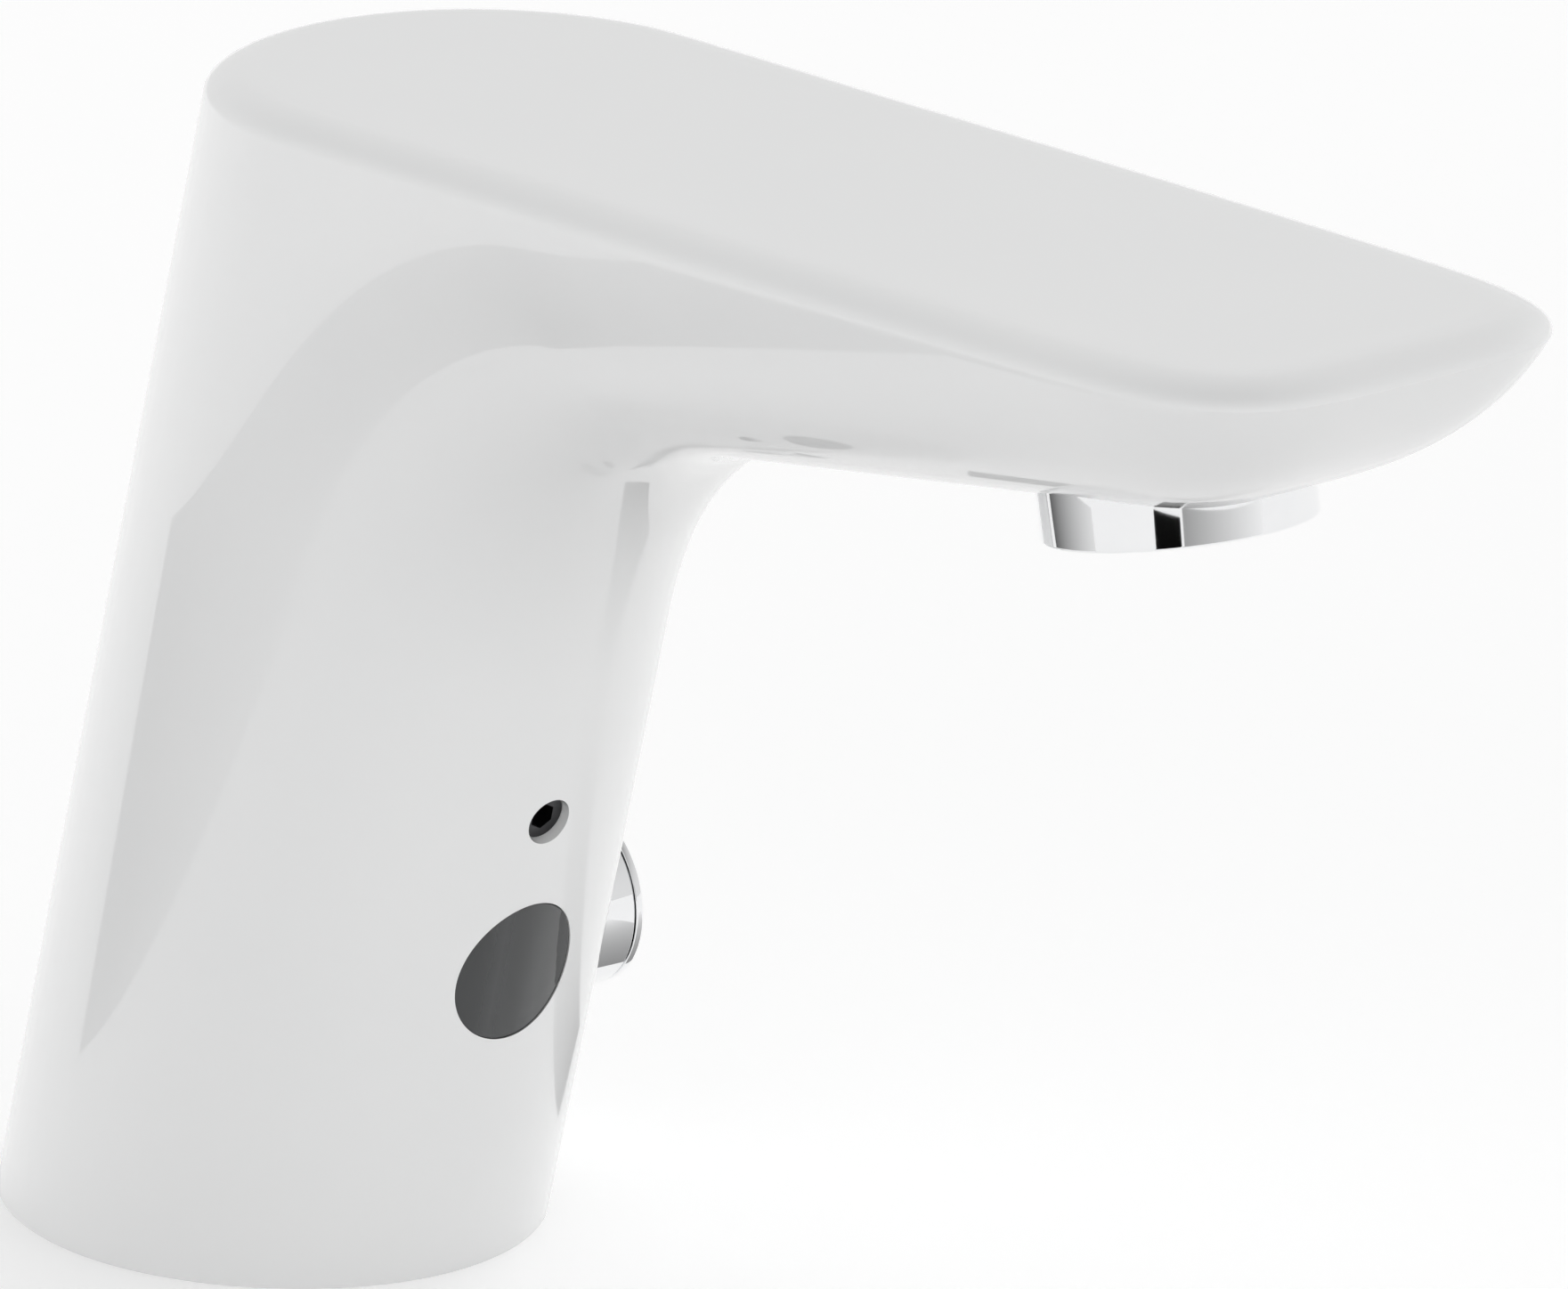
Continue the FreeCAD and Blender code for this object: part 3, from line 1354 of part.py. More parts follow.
def make_sensor_screws():
    screws = []
    seat = sensor_front + sensor_ear_thickness
    for way in (1, -1):
        rise = way * sensor_screw_offset
        head = cylinder(sensor_screw_head, window_point(seat, rise),
                        window_point(seat + sensor_screw_head_height, rise))
        shank = cylinder(sensor_screw_radius, window_point(land_depth - sensor_thread + screw_tip_gap, rise),
                         window_point(seat, rise))
        screws.append(one(head.fuse(shank)))
    return Part.makeCompound(screws)


def make_diode(side):
    offset = Vector(0, side * diode_spacing, 0)
    tip = board_depth - diode_length
    body = cylinder(diode_radius, window_point(board_depth) + offset, window_point(tip) + offset)
    return one(body.fuse(Part.makeSphere(diode_radius, window_point(tip) + offset)))


pieces["sensor_lens"] = make_lens()
pieces["lens_seal"] = tube(lens_flange_radius, window_radius, window_point(spot_depth),
                           window_point(lens_flange_depth))
pieces["sensor_housing"] = make_sensor_housing()
pieces["sensor_screws"] = make_sensor_screws()
pieces["circuit_board"] = window_box(board_half_width, board_half_height, board_depth, board_back)
pieces["infrared_emitter"] = make_diode(-1)
pieces["infrared_receiver"] = make_diode(1)

# ---- fixing screw and control unit
screw_tip = screw_recess + screw_length
pieces["fixing_screw"] = one(
    cylinder(screw_hole_radius - running_gap, screw_point(screw_recess), screw_point(screw_tip))
    .cut(hexagon(hex_across_flats, screw_point(screw_recess - 1), screw_point(screw_recess + hex_depth))))
unit_low = core_top + unit_gap
unit_high = unit_low + unit_height
unit_room = block(-half_length, unit_front, -unit_half_width, unit_half_width, unit_low, unit_high)
pieces["control_unit"] = one(envelope.common(unit_room))

# ---- files
os.makedirs("parts", exist_ok=True)
for name, shape in pieces.items():
    if not shape.isValid():
        print("not valid:", name)
    shape.exportStep("parts/" + name + ".step")
    print(name, len(shape.Solids), round(shape.Volume, 1))
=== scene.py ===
import json
from math import acos, atan2, cos, hypot, pi, radians, sin, tan

import bmesh
import bpy
from mathutils import Matrix, Vector


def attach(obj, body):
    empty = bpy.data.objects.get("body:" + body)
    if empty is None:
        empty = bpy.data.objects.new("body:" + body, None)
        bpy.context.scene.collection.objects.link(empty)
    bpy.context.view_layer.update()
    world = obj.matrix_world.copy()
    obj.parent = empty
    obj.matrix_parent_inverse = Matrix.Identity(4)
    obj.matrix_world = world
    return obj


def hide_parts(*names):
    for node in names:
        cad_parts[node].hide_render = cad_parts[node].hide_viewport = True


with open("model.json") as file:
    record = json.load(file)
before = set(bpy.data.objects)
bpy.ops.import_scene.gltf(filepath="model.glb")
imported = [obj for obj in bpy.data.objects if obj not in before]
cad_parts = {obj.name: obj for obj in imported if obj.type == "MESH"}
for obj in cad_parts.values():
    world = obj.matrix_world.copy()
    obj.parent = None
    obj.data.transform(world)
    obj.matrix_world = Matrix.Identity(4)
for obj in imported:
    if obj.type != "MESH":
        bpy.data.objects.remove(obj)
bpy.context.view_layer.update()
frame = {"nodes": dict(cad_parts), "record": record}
cadNodes = frame["nodes"]
mm = 0.001

photoView = {
    "azimuth": 39.93, "elevation": 18.22, "roll": 0.06,
    "distance": 1292.7 * mm, "target": Vector((81.09, 0, 79.02)) * mm,
    "lens": 309.26, "sensor": 36.0,
}


def viewWay(azimuth, elevation):
    # from the object towards the viewer
    a = radians(azimuth)
    e = radians(elevation)
    return Vector((cos(e) * cos(a), -cos(e) * sin(a), sin(e)))


def addCamera(view):
    away = viewWay(view["azimuth"], view["elevation"])
    camera = bpy.data.cameras.new("photoCamera")
    camera.sensor_fit = "HORIZONTAL"
    camera.sensor_width = view["sensor"]
    camera.lens = view["lens"]
    camera.clip_start = 0.05
    camera.clip_end = 20
    holder = bpy.data.objects.new("photoCamera", camera)
    turn = away.to_track_quat("Z", "Y").to_matrix() @ Matrix.Rotation(radians(view["roll"]), 3, "Z")
    holder.matrix_world = Matrix.Translation(view["target"] + away * view["distance"]) @ turn.to_4x4()
    bpy.context.scene.collection.objects.link(holder)
    bpy.context.scene.camera = holder


addCamera(photoView)
bpy.context.scene.view_settings.view_transform = "Standard"
print("camera placed")


class Wire:
    # a shader socket that takes part in Python sums
    def __init__(self, tree, socket):
        self.tree = tree
        self.socket = socket

    def join(self, operation, *values, clamp=False):
        node = self.tree.nodes.new("ShaderNodeMath")
        node.operation = operation
        node.use_clamp = clamp
        for slot, value in zip(node.inputs, values):
            if isinstance(value, Wire):
                self.tree.links.new(value.socket, slot)
            else:
                slot.default_value = value
        return Wire(self.tree, node.outputs[0])

    def __add__(self, other):
        return self.join("ADD", self, other)

    def __sub__(self, other):
        return self.join("SUBTRACT", self, other)

    def __rsub__(self, other):
        return self.join("SUBTRACT", other, self)

    def __mul__(self, other):
        return self.join("MULTIPLY", self, other)

    def __pow__(self, other):
        return self.join("POWER", self, other)

    def __abs__(self):
        return self.join("ABSOLUTE", self)

    def __lt__(self, other):
        return self.join("LESS_THAN", self, other)

    def clamped(self):
        return self.join("ADD", self, 0.0, clamp=True)


class Finish:
    # a material, or the world, under construction; in add(), n0 and n1 name a socket by its number
    def __init__(self, name, owner=None):
        self.owner = owner or bpy.data.materials.new(name)
        self.owner.use_nodes = True
        self.tree = self.owner.node_tree
        self.tree.nodes.clear()

    def add(self, kind, settings=None, **values):
        node = self.tree.nodes.new(kind)
        for key, value in (settings or {}).items():
            setattr(node, key, value)
        for key, value in values.items():
            slot = node.inputs[int(key[1:]) if key.startswith("n") else key.replace("_", " ")]
            if isinstance(value, Wire):
                self.tree.links.new(value.socket, slot)
            else:
                slot.default_value = value
        return node

    def out(self, node, name=0):
        return Wire(self.tree, node.outputs[name])

    def place(self):
        return self.out(self.add("ShaderNodeTexCoord"), "Object")

    def noise(self, scale, detail=2.0, rough=0.5, stretch=None):
        where = self.place()
        if stretch:
            where = self.out(self.add("ShaderNodeMapping", Vector=where, Scale=stretch), "Vector")
        return self.out(self.add("ShaderNodeTexNoise", Vector=where, Scale=scale, Detail=detail,
                                 Roughness=rough), 0)

    def tint(self, dark, light, share):
        node = self.add("ShaderNodeMix", {"data_type": "RGBA"}, n0=share)
        node.inputs[6].default_value = (*dark, 1)
        node.inputs[7].default_value = (*light, 1)
        return self.out(node, 2)

    def bump(self, height, distance, strength):
        node = self.add("ShaderNodeBump", Height=height, Distance=distance, Strength=strength)
        return self.out(node, "Normal")

    def surface(self, shader):
        out = self.tree.nodes.new("ShaderNodeOutputMaterial")
        self.tree.links.new(shader.outputs[0], out.inputs["Surface"])
        return self.owner


enamel = {
    "dark": (0.835, 0.84, 0.842), "light": (0.865, 0.868, 0.866), "cloudScale": 38,
    "peelScale": 900, "peelDepth": 0.000012, "peelStrength": 0.35,
    "roughness": 0.26, "spread": 0.06, "coatRoughness": 0.025, "coatIor": 1.5,
}


def enamelFinish():
    # poured white enamel: hardly any texture, a faint orange peel under a clear coat
    f = Finish("whiteEnamel")
    cloud = f.noise(enamel["cloudScale"], 3)
    peel = f.noise(enamel["peelScale"], 1)
    shader = f.add("ShaderNodeBsdfPrincipled", Base_Color=f.tint(enamel["dark"], enamel["light"], cloud),
                   Roughness=cloud * enamel["spread"] + enamel["roughness"], Coat_Weight=1.0,
                   Coat_Roughness=enamel["coatRoughness"], Coat_IOR=enamel["coatIor"],
                   Normal=f.bump(peel, enamel["peelDepth"], enamel["peelStrength"]))
    return f.surface(shader)


chrome = {
    "dark": (0.86, 0.865, 0.875), "light": (0.91, 0.915, 0.92), "hazeScale": 160,
    "rippleScale": 420, "rippleDepth": 0.000004, "rippleStrength": 0.2, "roughness": 0.03, "spread": 0.03,
}


def chromeFinish():
    f = Finish("chromePlate")
    haze = f.noise(chrome["hazeScale"], 4, 0.6)
    ripple = f.noise(chrome["rippleScale"], 1)
    shader = f.add("ShaderNodeBsdfPrincipled", Base_Color=f.tint(chrome["dark"], chrome["light"], haze),
                   Metallic=1.0, Roughness=haze * chrome["spread"] + chrome["roughness"],
                   Normal=f.bump(ripple, chrome["rippleDepth"], chrome["rippleStrength"]))
    return f.surface(shader)


turned = {
    "stretch": (0.05, 0.05, 1.0), "stainScale": 60, "spread": 0.14,
    "markDepth": 0.00002, "markStrength": 0.4,
}


def turnedFinish(name, dark, light, roughness, lines=2600.0):
    # turned or drawn metal with fine tool marks across its length
    f = Finish(name)
    marks = f.noise(lines, 2, 0.6, stretch=turned["stretch"])
    stain = f.noise(turned["stainScale"], 4)
    shader = f.add("ShaderNodeBsdfPrincipled", Base_Color=f.tint(dark, light, stain), Metallic=1.0,
                   Roughness=marks * turned["spread"] + roughness,
                   Normal=f.bump(marks, turned["markDepth"], turned["markStrength"]))
    return f.surface(shader)


moulded = {"cloudScale": 45, "spread": 0.10, "pitDepth": 0.00004, "pitStrength": 0.45}


def mouldedFinish(name, dark, light, roughness, grain=1500.0):
    # moulded plastic with spark-eroded grain
    f = Finish(name)
    cloud = f.noise(moulded["cloudScale"], 3)
    pits = f.noise(grain, 2, 0.7)
    shader = f.add("ShaderNodeBsdfPrincipled", Base_Color=f.tint(dark, light, cloud),
                   Roughness=cloud * moulded["spread"] + roughness,
                   Normal=f.bump(pits, moulded["pitDepth"], moulded["pitStrength"]))
    return f.surface(shader)


rubber = {
    "dark": (0.012, 0.012, 0.013), "light": (0.045, 0.044, 0.042), "dustScale": 220,
    "grainScale": 1300, "grainDepth": 0.00005, "grainStrength": 0.5, "roughness": 0.55, "spread": 0.18,
}


def rubberFinish():
    f = Finish("sealRubber")
    dust = f.noise(rubber["dustScale"], 4, 0.7)
    grain = f.noise(rubber["grainScale"], 3, 0.7)
    shader = f.add("ShaderNodeBsdfPrincipled", Base_Color=f.tint(rubber["dark"], rubber["light"], dust),
                   Roughness=dust * rubber["spread"] + rubber["roughness"],
                   Normal=f.bump(grain, rubber["grainDepth"], rubber["grainStrength"]))
    return f.surface(shader)


# the band sizes and share make a painted reflection: two lighter upright bands in the window's colour
window = {
    "dark": (0.014, 0.016, 0.017), "light": (0.040, 0.043, 0.045), "paintedReflectionPlace": 2.6, "paintedReflectionWidth": 2.1,
    "paintedReflectionShare": 0.55, "cloudShare": 0.35, "cloudScale": 160, "hazeScale": 90,
    "roughness": 0.06, "spread": 0.05, "specular": 0.2, "coatRoughness": 0.02,
}


def windowFinish():
    # dark infrared-clear plastic with a painted reflection: two upright lighter bands painted into its
    # colour
    f = Finish("darkWindow")
    side = f.out(f.add("ShaderNodeSeparateXYZ", Vector=f.place()), "Y")
    # painted reflection: two upright bands, one each side of the middle, lighter in the colour
    paintedReflectionPlace = window["paintedReflectionPlace"] * mm
    perWidth = 1 / (window["paintedReflectionWidth"] * mm)
    nearReflection = (1 - abs(side + paintedReflectionPlace) * perWidth).clamped()
    farReflection = (1 - abs(side - paintedReflectionPlace) * perWidth).clamped()
    cloud = f.noise(window["cloudScale"], 3)
    shade = ((nearReflection + farReflection) * window["paintedReflectionShare"] + cloud * window["cloudShare"]).clamped()
    haze = f.noise(window["hazeScale"], 3)
    shader = f.add("ShaderNodeBsdfPrincipled", Base_Color=f.tint(window["dark"], window["light"], shade),
                   Roughness=haze * window["spread"] + window["roughness"],
                   Specular_IOR_Level=window["specular"], Coat_Weight=1.0,
                   Coat_Roughness=window["coatRoughness"])
    return f.surface(shader)


ceramic = {
    "dark": (0.72, 0.70, 0.66), "light": (0.84, 0.82, 0.78), "speckScale": 700, "speckDepth": 0.000008,
    "speckStrength": 0.3, "roughness": 0.18, "spread": 0.1,
}


def ceramicFinish():
    f = Finish("lappedCeramic")
    speck = f.noise(ceramic["speckScale"], 4, 0.7)
    shader = f.add("ShaderNodeBsdfPrincipled", Base_Color=f.tint(ceramic["dark"], ceramic["light"], speck),
                   Roughness=speck * ceramic["spread"] + ceramic["roughness"],
                   Normal=f.bump(speck, ceramic["speckDepth"], ceramic["speckStrength"]))
    return f.surface(shader)


copper = {
    "dark": (0.30, 0.09, 0.03), "light": (0.62, 0.26, 0.12), "turnScale": 700.0, "wander": 0.6,
    "turnDepth": 0.00008, "turnStrength": 0.7, "metallic": 0.8, "roughness": 0.28, "spread": 0.15,
}


def copperFinish():
    # enamelled wire, one ridge for each turn up the coil
    f = Finish("copperWinding")
    wave = f.add("ShaderNodeTexWave", {"bands_direction": "Z"}, Vector=f.place(), Scale=copper["turnScale"],
                 Distortion=copper["wander"])
    turns = f.out(wave, "Fac")
    shader = f.add("ShaderNodeBsdfPrincipled", Base_Color=f.tint(copper["dark"], copper["light"], turns),
                   Metallic=copper["metallic"], Roughness=turns * copper["spread"] + copper["roughness"],
                   Normal=f.bump(turns, copper["turnDepth"], copper["turnStrength"]))
    return f.surface(shader)


board = {
    "dark": (0.012, 0.09, 0.035), "light": (0.05, 0.22, 0.09), "trackScale": 420.0, "trackWidth": 0.09,
    "trackDepth": 0.00003, "trackStrength": 0.5, "hazeScale": 300, "roughness": 0.32, "spread": 0.12,
}


def boardFinish():
    # green board with a net of tracks
    f = Finish("circuitBoard")
    cells = f.add("ShaderNodeTexVoronoi", {"feature": "DISTANCE_TO_EDGE"}, Vector=f.place(),
                  Scale=board["trackScale"])
    tracks = f.out(cells, "Distance") < board["trackWidth"]
    haze = f.noise(board["hazeScale"], 3)
    shader = f.add("ShaderNodeBsdfPrincipled", Base_Color=f.tint(board["dark"], board["light"], tracks),
                   Roughness=haze * board["spread"] + board["roughness"],
                   Normal=f.bump(tracks, board["trackDepth"], board["trackStrength"]))
    return f.surface(shader)


# one finish for each material slot of the record
finishes = {
    "white_enamel": enamelFinish(),
    "chrome_plate": chromeFinish(),
    "black_screw": turnedFinish("blackScrew", (0.045, 0.045, 0.047), (0.085, 0.085, 0.088), 0.30),
    "brass": turnedFinish("machinedBrass", (0.62, 0.42, 0.17), (0.76, 0.56, 0.27), 0.24),
    "stainless": turnedFinish("stainlessSteel", (0.50, 0.50, 0.50), (0.62, 0.62, 0.63), 0.22),
    "spring_steel": turnedFinish("springSteel", (0.40, 0.40, 0.42), (0.55, 0.55, 0.57), 0.25, 4000.0),
    "steel": turnedFinish("platedSteel", (0.46, 0.47, 0.50), (0.60, 0.60, 0.61), 0.33, 1500.0),
    "dark_window": windowFinish(),
    "white_plastic": mouldedFinish("whiteAcetal", (0.74, 0.74, 0.71), (0.84, 0.84, 0.81), 0.38),
    "grey_plastic": mouldedFinish("greyMoulding", (0.30, 0.32, 0.34), (0.42, 0.44, 0.46), 0.42),
    "black_plastic": mouldedFinish("blackMoulding", (0.015, 0.015, 0.016), (0.045, 0.045, 0.046), 0.45),
    "black_rubber": rubberFinish(),
    "ceramic": ceramicFinish(),
    "copper": copperFinish(),
    "board_green": boardFinish(),
}


shading = {"mergeDistance": 0.002, "sharpAngle": 28}


def softShading():
    # merges the loose triangles and keeps only real corners sharp
    tree = bpy.data.node_groups.new("softShading", "GeometryNodeTree")
    tree.interface.new_socket("Geometry", in_out="INPUT", socket_type="NodeSocketGeometry")
    tree.interface.new_socket("Geometry", in_out="OUTPUT", socket_type="NodeSocketGeometry")
    start = tree.nodes.new("NodeGroupInput")
    end = tree.nodes.new("NodeGroupOutput")
    merge = tree.nodes.new("GeometryNodeMergeByDistance")
    merge.inputs["Distance"].default_value = shading["mergeDistance"] * mm
    faces = tree.nodes.new("GeometryNodeSetShadeSmooth")
    corners = tree.nodes.new("GeometryNodeSetShadeSmooth")
    corners.domain = "EDGE"
    corners.inputs["Shade Smooth"].default_value = False
    angle = tree.nodes.new("GeometryNodeInputMeshEdgeAngle")
    sharp = tree.nodes.new("FunctionNodeCompare")
    sharp.operation = "GREATER_THAN"
    sharp.inputs[1].default_value = radians(shading["sharpAngle"])
    tree.links.new(start.outputs[0], merge.inputs["Geometry"])
    tree.links.new(merge.outputs["Geometry"], faces.inputs["Geometry"])
    tree.links.new(faces.outputs["Geometry"], corners.inputs["Geometry"])
    tree.links.new(angle.outputs["Unsigned Angle"], sharp.inputs[0])
    tree.links.new(sharp.outputs["Result"], corners.inputs["Selection"])
    tree.links.new(corners.outputs["Geometry"], end.inputs[0])
    return tree


def dressNodes():
    soften = softShading()
    for row in frame["record"]["subparts"]:
        node = cadNodes[row["node"]]
        node.data.materials.clear()
        node.data.materials.append(finishes[row["material_slot"]])
        node.modifiers.new("softShading", "NODES").node_group = soften


dressNodes()
print("CAD nodes dressed")


def placeMesh(name, bm):
    mesh = bpy.data.meshes.new(name)
    bm.to_mesh(mesh)
    bm.free()
    holder = bpy.data.objects.new(name, mesh)
    bpy.context.scene.collection.objects.link(holder)
    return holder


def addPiece(name, bm, slot, body, replaced, smoothAngle=30):
    bmesh.ops.recalc_face_normals(bm, faces=bm.faces)
    for face in bm.faces:
        face.smooth = True
    piece = placeMesh(name, bm)
    piece.data.set_sharp_from_angle(angle=radians(smoothAngle))
    piece.data.materials.append(finishes[slot])
    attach(piece, body)
    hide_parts(*replaced)


turning = {"steps": 160, "mergeDistance": 0.001, "sharpAngle": 35}


def lathe(profile, origin, axis, bevelWidth=0.12, bevelSegments=3):
    # closed profile of (radius, distance) in millimetres, spun about an axis through origin
    bm = bmesh.new()
    corners = [bm.verts.new((r * mm, 0, h * mm)) for r, h in profile]
    edges = [bm.edges.new((a, b)) for a, b in zip(corners, corners[1:] + corners[:1])]
    bmesh.ops.spin(bm, geom=corners + edges, cent=(0, 0, 0), axis=(0, 0, 1), dvec=(0, 0, 0),
                   angle=2 * pi, steps=turning["steps"], use_merge=True, use_duplicate=False)
    bmesh.ops.remove_doubles(bm, verts=bm.verts, dist=turning["mergeDistance"] * mm)
    bmesh.ops.recalc_face_normals(bm, faces=bm.faces)
    limit = radians(turning["sharpAngle"])
    sharp = [e for e in bm.edges if len(e.link_faces) == 2 and e.calc_face_angle() > limit]
    bmesh.ops.bevel(bm, geom=sharp, offset=bevelWidth * mm, offset_type="OFFSET", affect="EDGES",
                    segments=bevelSegments, profile=0.5, material=-1, clamp_overlap=True)
    turn = axis.normalized().to_track_quat("Z", "Y").to_matrix().to_4x4()
    bmesh.ops.transform(bm, matrix=Matrix.Translation(origin * mm) @ turn, verts=bm.verts)
    return bm


# the hollow casting, in millimetres and degrees: the same driving sizes as the solid's
body = {
    "halfLength": 30.45, "halfWidth": 27.0, "leanAngle": 16.23, "narrowing": 0.00019,
    "topHeight": 125.5, "topSlope": 0.0212, "spoutReach": 174.8, "spoutHalfWidth": 26.6,
    "waistSlope": -0.0065, "waistBlend": 53.0, "throatRadius": 48.0,
    "undersideAngle": 9.29, "undersideHeight": 102.3, "undersideStation": 100.0,
    "hullDepth": 30.7, "sidePower": 2.75, "keelPower": 2.43, "bowPower": 4.05, "bowLength": 35.5,
    "edgeRadius": 2.4, "edgeInset": 5.2, "wall": 3.0,
    "columnRows": 34, "throatRows": 40, "hullRows": 26, "bowRows": 44, "edgeRows": 12,
    "sidePoints": 130, "samples": 700, "frontCrowding": 1.6, "bowCrowding": 1.3,
    "lidInsets": (0.4, 1.2), "mergeDistance": 0.0005,
    "innerDetail": 0.4, "roofGap": 1.0, "belowDeck": 2.0,
}
lean = tan(radians(body["leanAngle"]))
undersideSlope = tan(radians(body["undersideAngle"]))
frontLean = lean - body["halfLength"] * body["narrowing"]
bowX = body["spoutReach"] - body["bowLength"]


def unit(x, z):
    size = hypot(x, z)
    return x / size, z / size


def underside(x):
    return body["undersideHeight"] + undersideSlope * (x - body["undersideStation"])


def topFace(x):
    return body["topHeight"] + body["topSlope"] * x


frontWay = unit(frontLean, 1)
frontIn = (-frontWay[1], frontWay[0])
undersideWay = unit(1, undersideSlope)
undersideIn = (-undersideWay[1], undersideWay[0])
undersideStart = body["undersideHeight"] - undersideSlope * body["undersideStation"]
cornerX = (body["halfLength"] + frontLean * undersideStart) / (1 - frontLean * undersideSlope)
cornerZ = (cornerX - body["halfLength"]) / frontLean
throatTurn = acos(frontWay[0] * undersideWay[0] + frontWay[1] * undersideWay[1])
throatRun = body["throatRadius"] * tan(throatTurn / 2)
throatLow = (cornerX - frontWay[0] * throatRun, cornerZ - frontWay[1] * throatRun)
throatHigh = (cornerX + undersideWay[0] * throatRun, cornerZ + undersideWay[1] * throatRun)
throatX = throatLow[0] - frontIn[0] * body["throatRadius"]
throatZ = throatLow[1] - frontIn[1] * body["throatRadius"]
throatStart = atan2(frontIn[1], frontIn[0])
throatEnd = atan2(undersideIn[1], undersideIn[0])


def ease(share):
    share = min(max(share, 0.0), 1.0)
    return share * share * (3 - 2 * share)


def halfBreadth(x, z):
    # half width of the body at a point of its middle plane
    aX = x - throatX
    aZ = z - throatZ
    angle = atan2(aZ, aX)
    if angle < -pi / 2:
        angle += 2 * pi
    radius = body["throatRadius"]
    if angle >= throatStart:
        blend = 0.0
        inward = frontIn
        depth = aX * inward[0] + aZ * inward[1] - radius
    elif angle <= throatEnd:
        blend = 1.0
        inward = undersideIn
        depth = aX * inward[0] + aZ * inward[1] - radius
    else:
        blend = ease((throatStart - angle) / (throatStart - throatEnd))
        inward = unit(aX, aZ)
        depth = hypot(aX, aZ) - radius
    if depth <= 0:
        return 0.0
    skinX = x - depth * inward[0]
    skinZ = z - depth * inward[1]
    fall = lean * inward[1] - inward[0]
    columnDepth = body["halfWidth"] * 3
    if fall > 1e-6:
        columnDepth = min((skinX - lean * skinZ) / fall, columnDepth)
    reach = (1 - blend) * columnDepth + blend * body["hullDepth"]
    sidePower = 2 + blend * (body["sidePower"] - 2)
    keelPower = 2 + blend * (body["keelPower"] - 2)
    fullness = (1 - max(0.0, 1 - depth / reach) ** keelPower) ** (1 / sidePower)
    bow = blend * max(0.0, (x - bowX) / body["bowLength"])
    widen = ease((x - lean * z) / body["waistBlend"])
    columnWidth = body["halfWidth"] * (1 - body["narrowing"] * z)
    spoutWidth = body["spoutHalfWidth"] + body["waistSlope"] * (body["spoutReach"] - x)
    width = columnWidth * (1 - widen) + spoutWidth * widen
    left = fullness ** body["bowPower"] - bow ** body["bowPower"]
    return width * left ** (1 / body["bowPower"]) if left > 0 else 0.0


def bowPoint(angle):
    depth = body["hullDepth"] * (1 - cos(angle) ** (2 / body["keelPower"]))
    x = bowX + body["bowLength"] * sin(angle) ** (2 / body["sidePower"])
    return x, underside(x) + depth / undersideWay[0]


def bowEnd():
    low = 0.0
    high = pi / 2
    for _ in range(50):
        middle = (low + high) / 2
        x, z = bowPoint(middle)
        if z < topFace(x) - body["edgeRadius"]:
            low = middle
        else:
            high = middle
    return low


def sectionLines(detail):
    # front point and axis height of each row, from the deck to the edge's rounding
    lines = []
    axisTop = (body["topHeight"] - body["edgeRadius"]) / (1 - body["topSlope"] * lean)
    fall = frontIn[1] / frontIn[0]
    axisLow = (throatLow[1] - fall * throatLow[0]) / (1 - lean * fall)
    axisHigh = (axisLow + axisTop * 2) / 3
    axisMiddle = (axisLow + axisHigh) / 2
    columnRows, throatRows, hullRows, bowRows = [
        max(4, round(body[key] * detail)) for key in ("columnRows", "throatRows", "hullRows", "bowRows")]
    for i in range(columnRows):
        share = i / columnRows
        height = throatLow[1] * share
        lines.append((body["halfLength"] + frontLean * height, height, axisLow * share))
    for i in range(throatRows):
        share = i / throatRows
        angle = throatStart + (throatEnd - throatStart) * share
        x = throatX + body["throatRadius"] * cos(angle)
        z = throatZ + body["throatRadius"] * sin(angle)
        lines.append((x, z, axisLow + (axisMiddle - axisLow) * share))
    for i in range(hullRows):
        share = i / hullRows
        x = throatHigh[0] + (bowX - throatHigh[0]) * share
        lines.append((x, underside(x), axisMiddle + (axisHigh - axisMiddle) * share))
    last = bowEnd()
    for i in range(bowRows + 1):
        share = i / bowRows
        x, z = bowPoint(last * share ** body["bowCrowding"])
        lines.append((x, z, axisHigh + (axisTop - axisHigh) * share))
    return lines, axisTop


def sectionLoop(front, height, axisHeight, axisTop, sidePoints):
    axisX = lean * axisHeight
    samples = body["samples"]
    chain = []
    for i in range(samples + 1):
        share = (1 - cos(i / samples * pi / 2)) ** body["frontCrowding"] if i < samples else 1.0
        x = front + (axisX - front) * share
        z = height + (axisHeight - height) * share
        chain.append(Vector((x, halfBreadth(x, z) if i else 0.0, z)))
    tilt = axisHeight / axisTop * body["topSlope"]
    size = 1 - body["narrowing"] * axisHeight
    backSamples = samples // 3
    lengthways = body["halfLength"] * size
    for i in range(1, backSamples + 1):
        angle = pi / 2 * (1 + i / backSamples)
        x = (lean * (axisHeight - tilt * axisX) + lengthways * cos(angle)) / (1 - lean * tilt)
        y = body["halfWidth"] * size * sin(angle) if i < backSamples else 0.0
        chain.append(Vector((x, y, axisHeight + tilt * (x - axisX))))
    lengths = [0.0]
    for a, b in zip(chain, chain[1:]):
        lengths.append(lengths[-1] + (b - a).length)
    side = []
    at = 0
    for i in range(sidePoints + 1):
        goal = lengths[-1] * i / sidePoints
        while at < len(lengths) - 2 and lengths[at + 1] < goal:
            at += 1
        side.append(chain[at].lerp(chain[at + 1], (goal - lengths[at]) / (lengths[at + 1] - lengths[at])))
    side[0] = chain[0]
    side[-1] = chain[-1]
    return side + [Vector((p.x, -p.y, p.z)) for p in side[-2:0:-1]]


def bodyLoops(detail):
    lines, axisTop = sectionLines(detail)
    points = round(body["sidePoints"] * detail)
    return [sectionLoop(x, z, axis, axisTop, points) for x, z, axis in lines]


topNormal = Vector((-body["topSlope"], 0, 1)).normalized()


def flatNormals(loop):
    count = len(loop)
    return [(loop[(j + 1) % count] - loop[j - 1]).cross(topNormal).normalized() for j in range(count)]


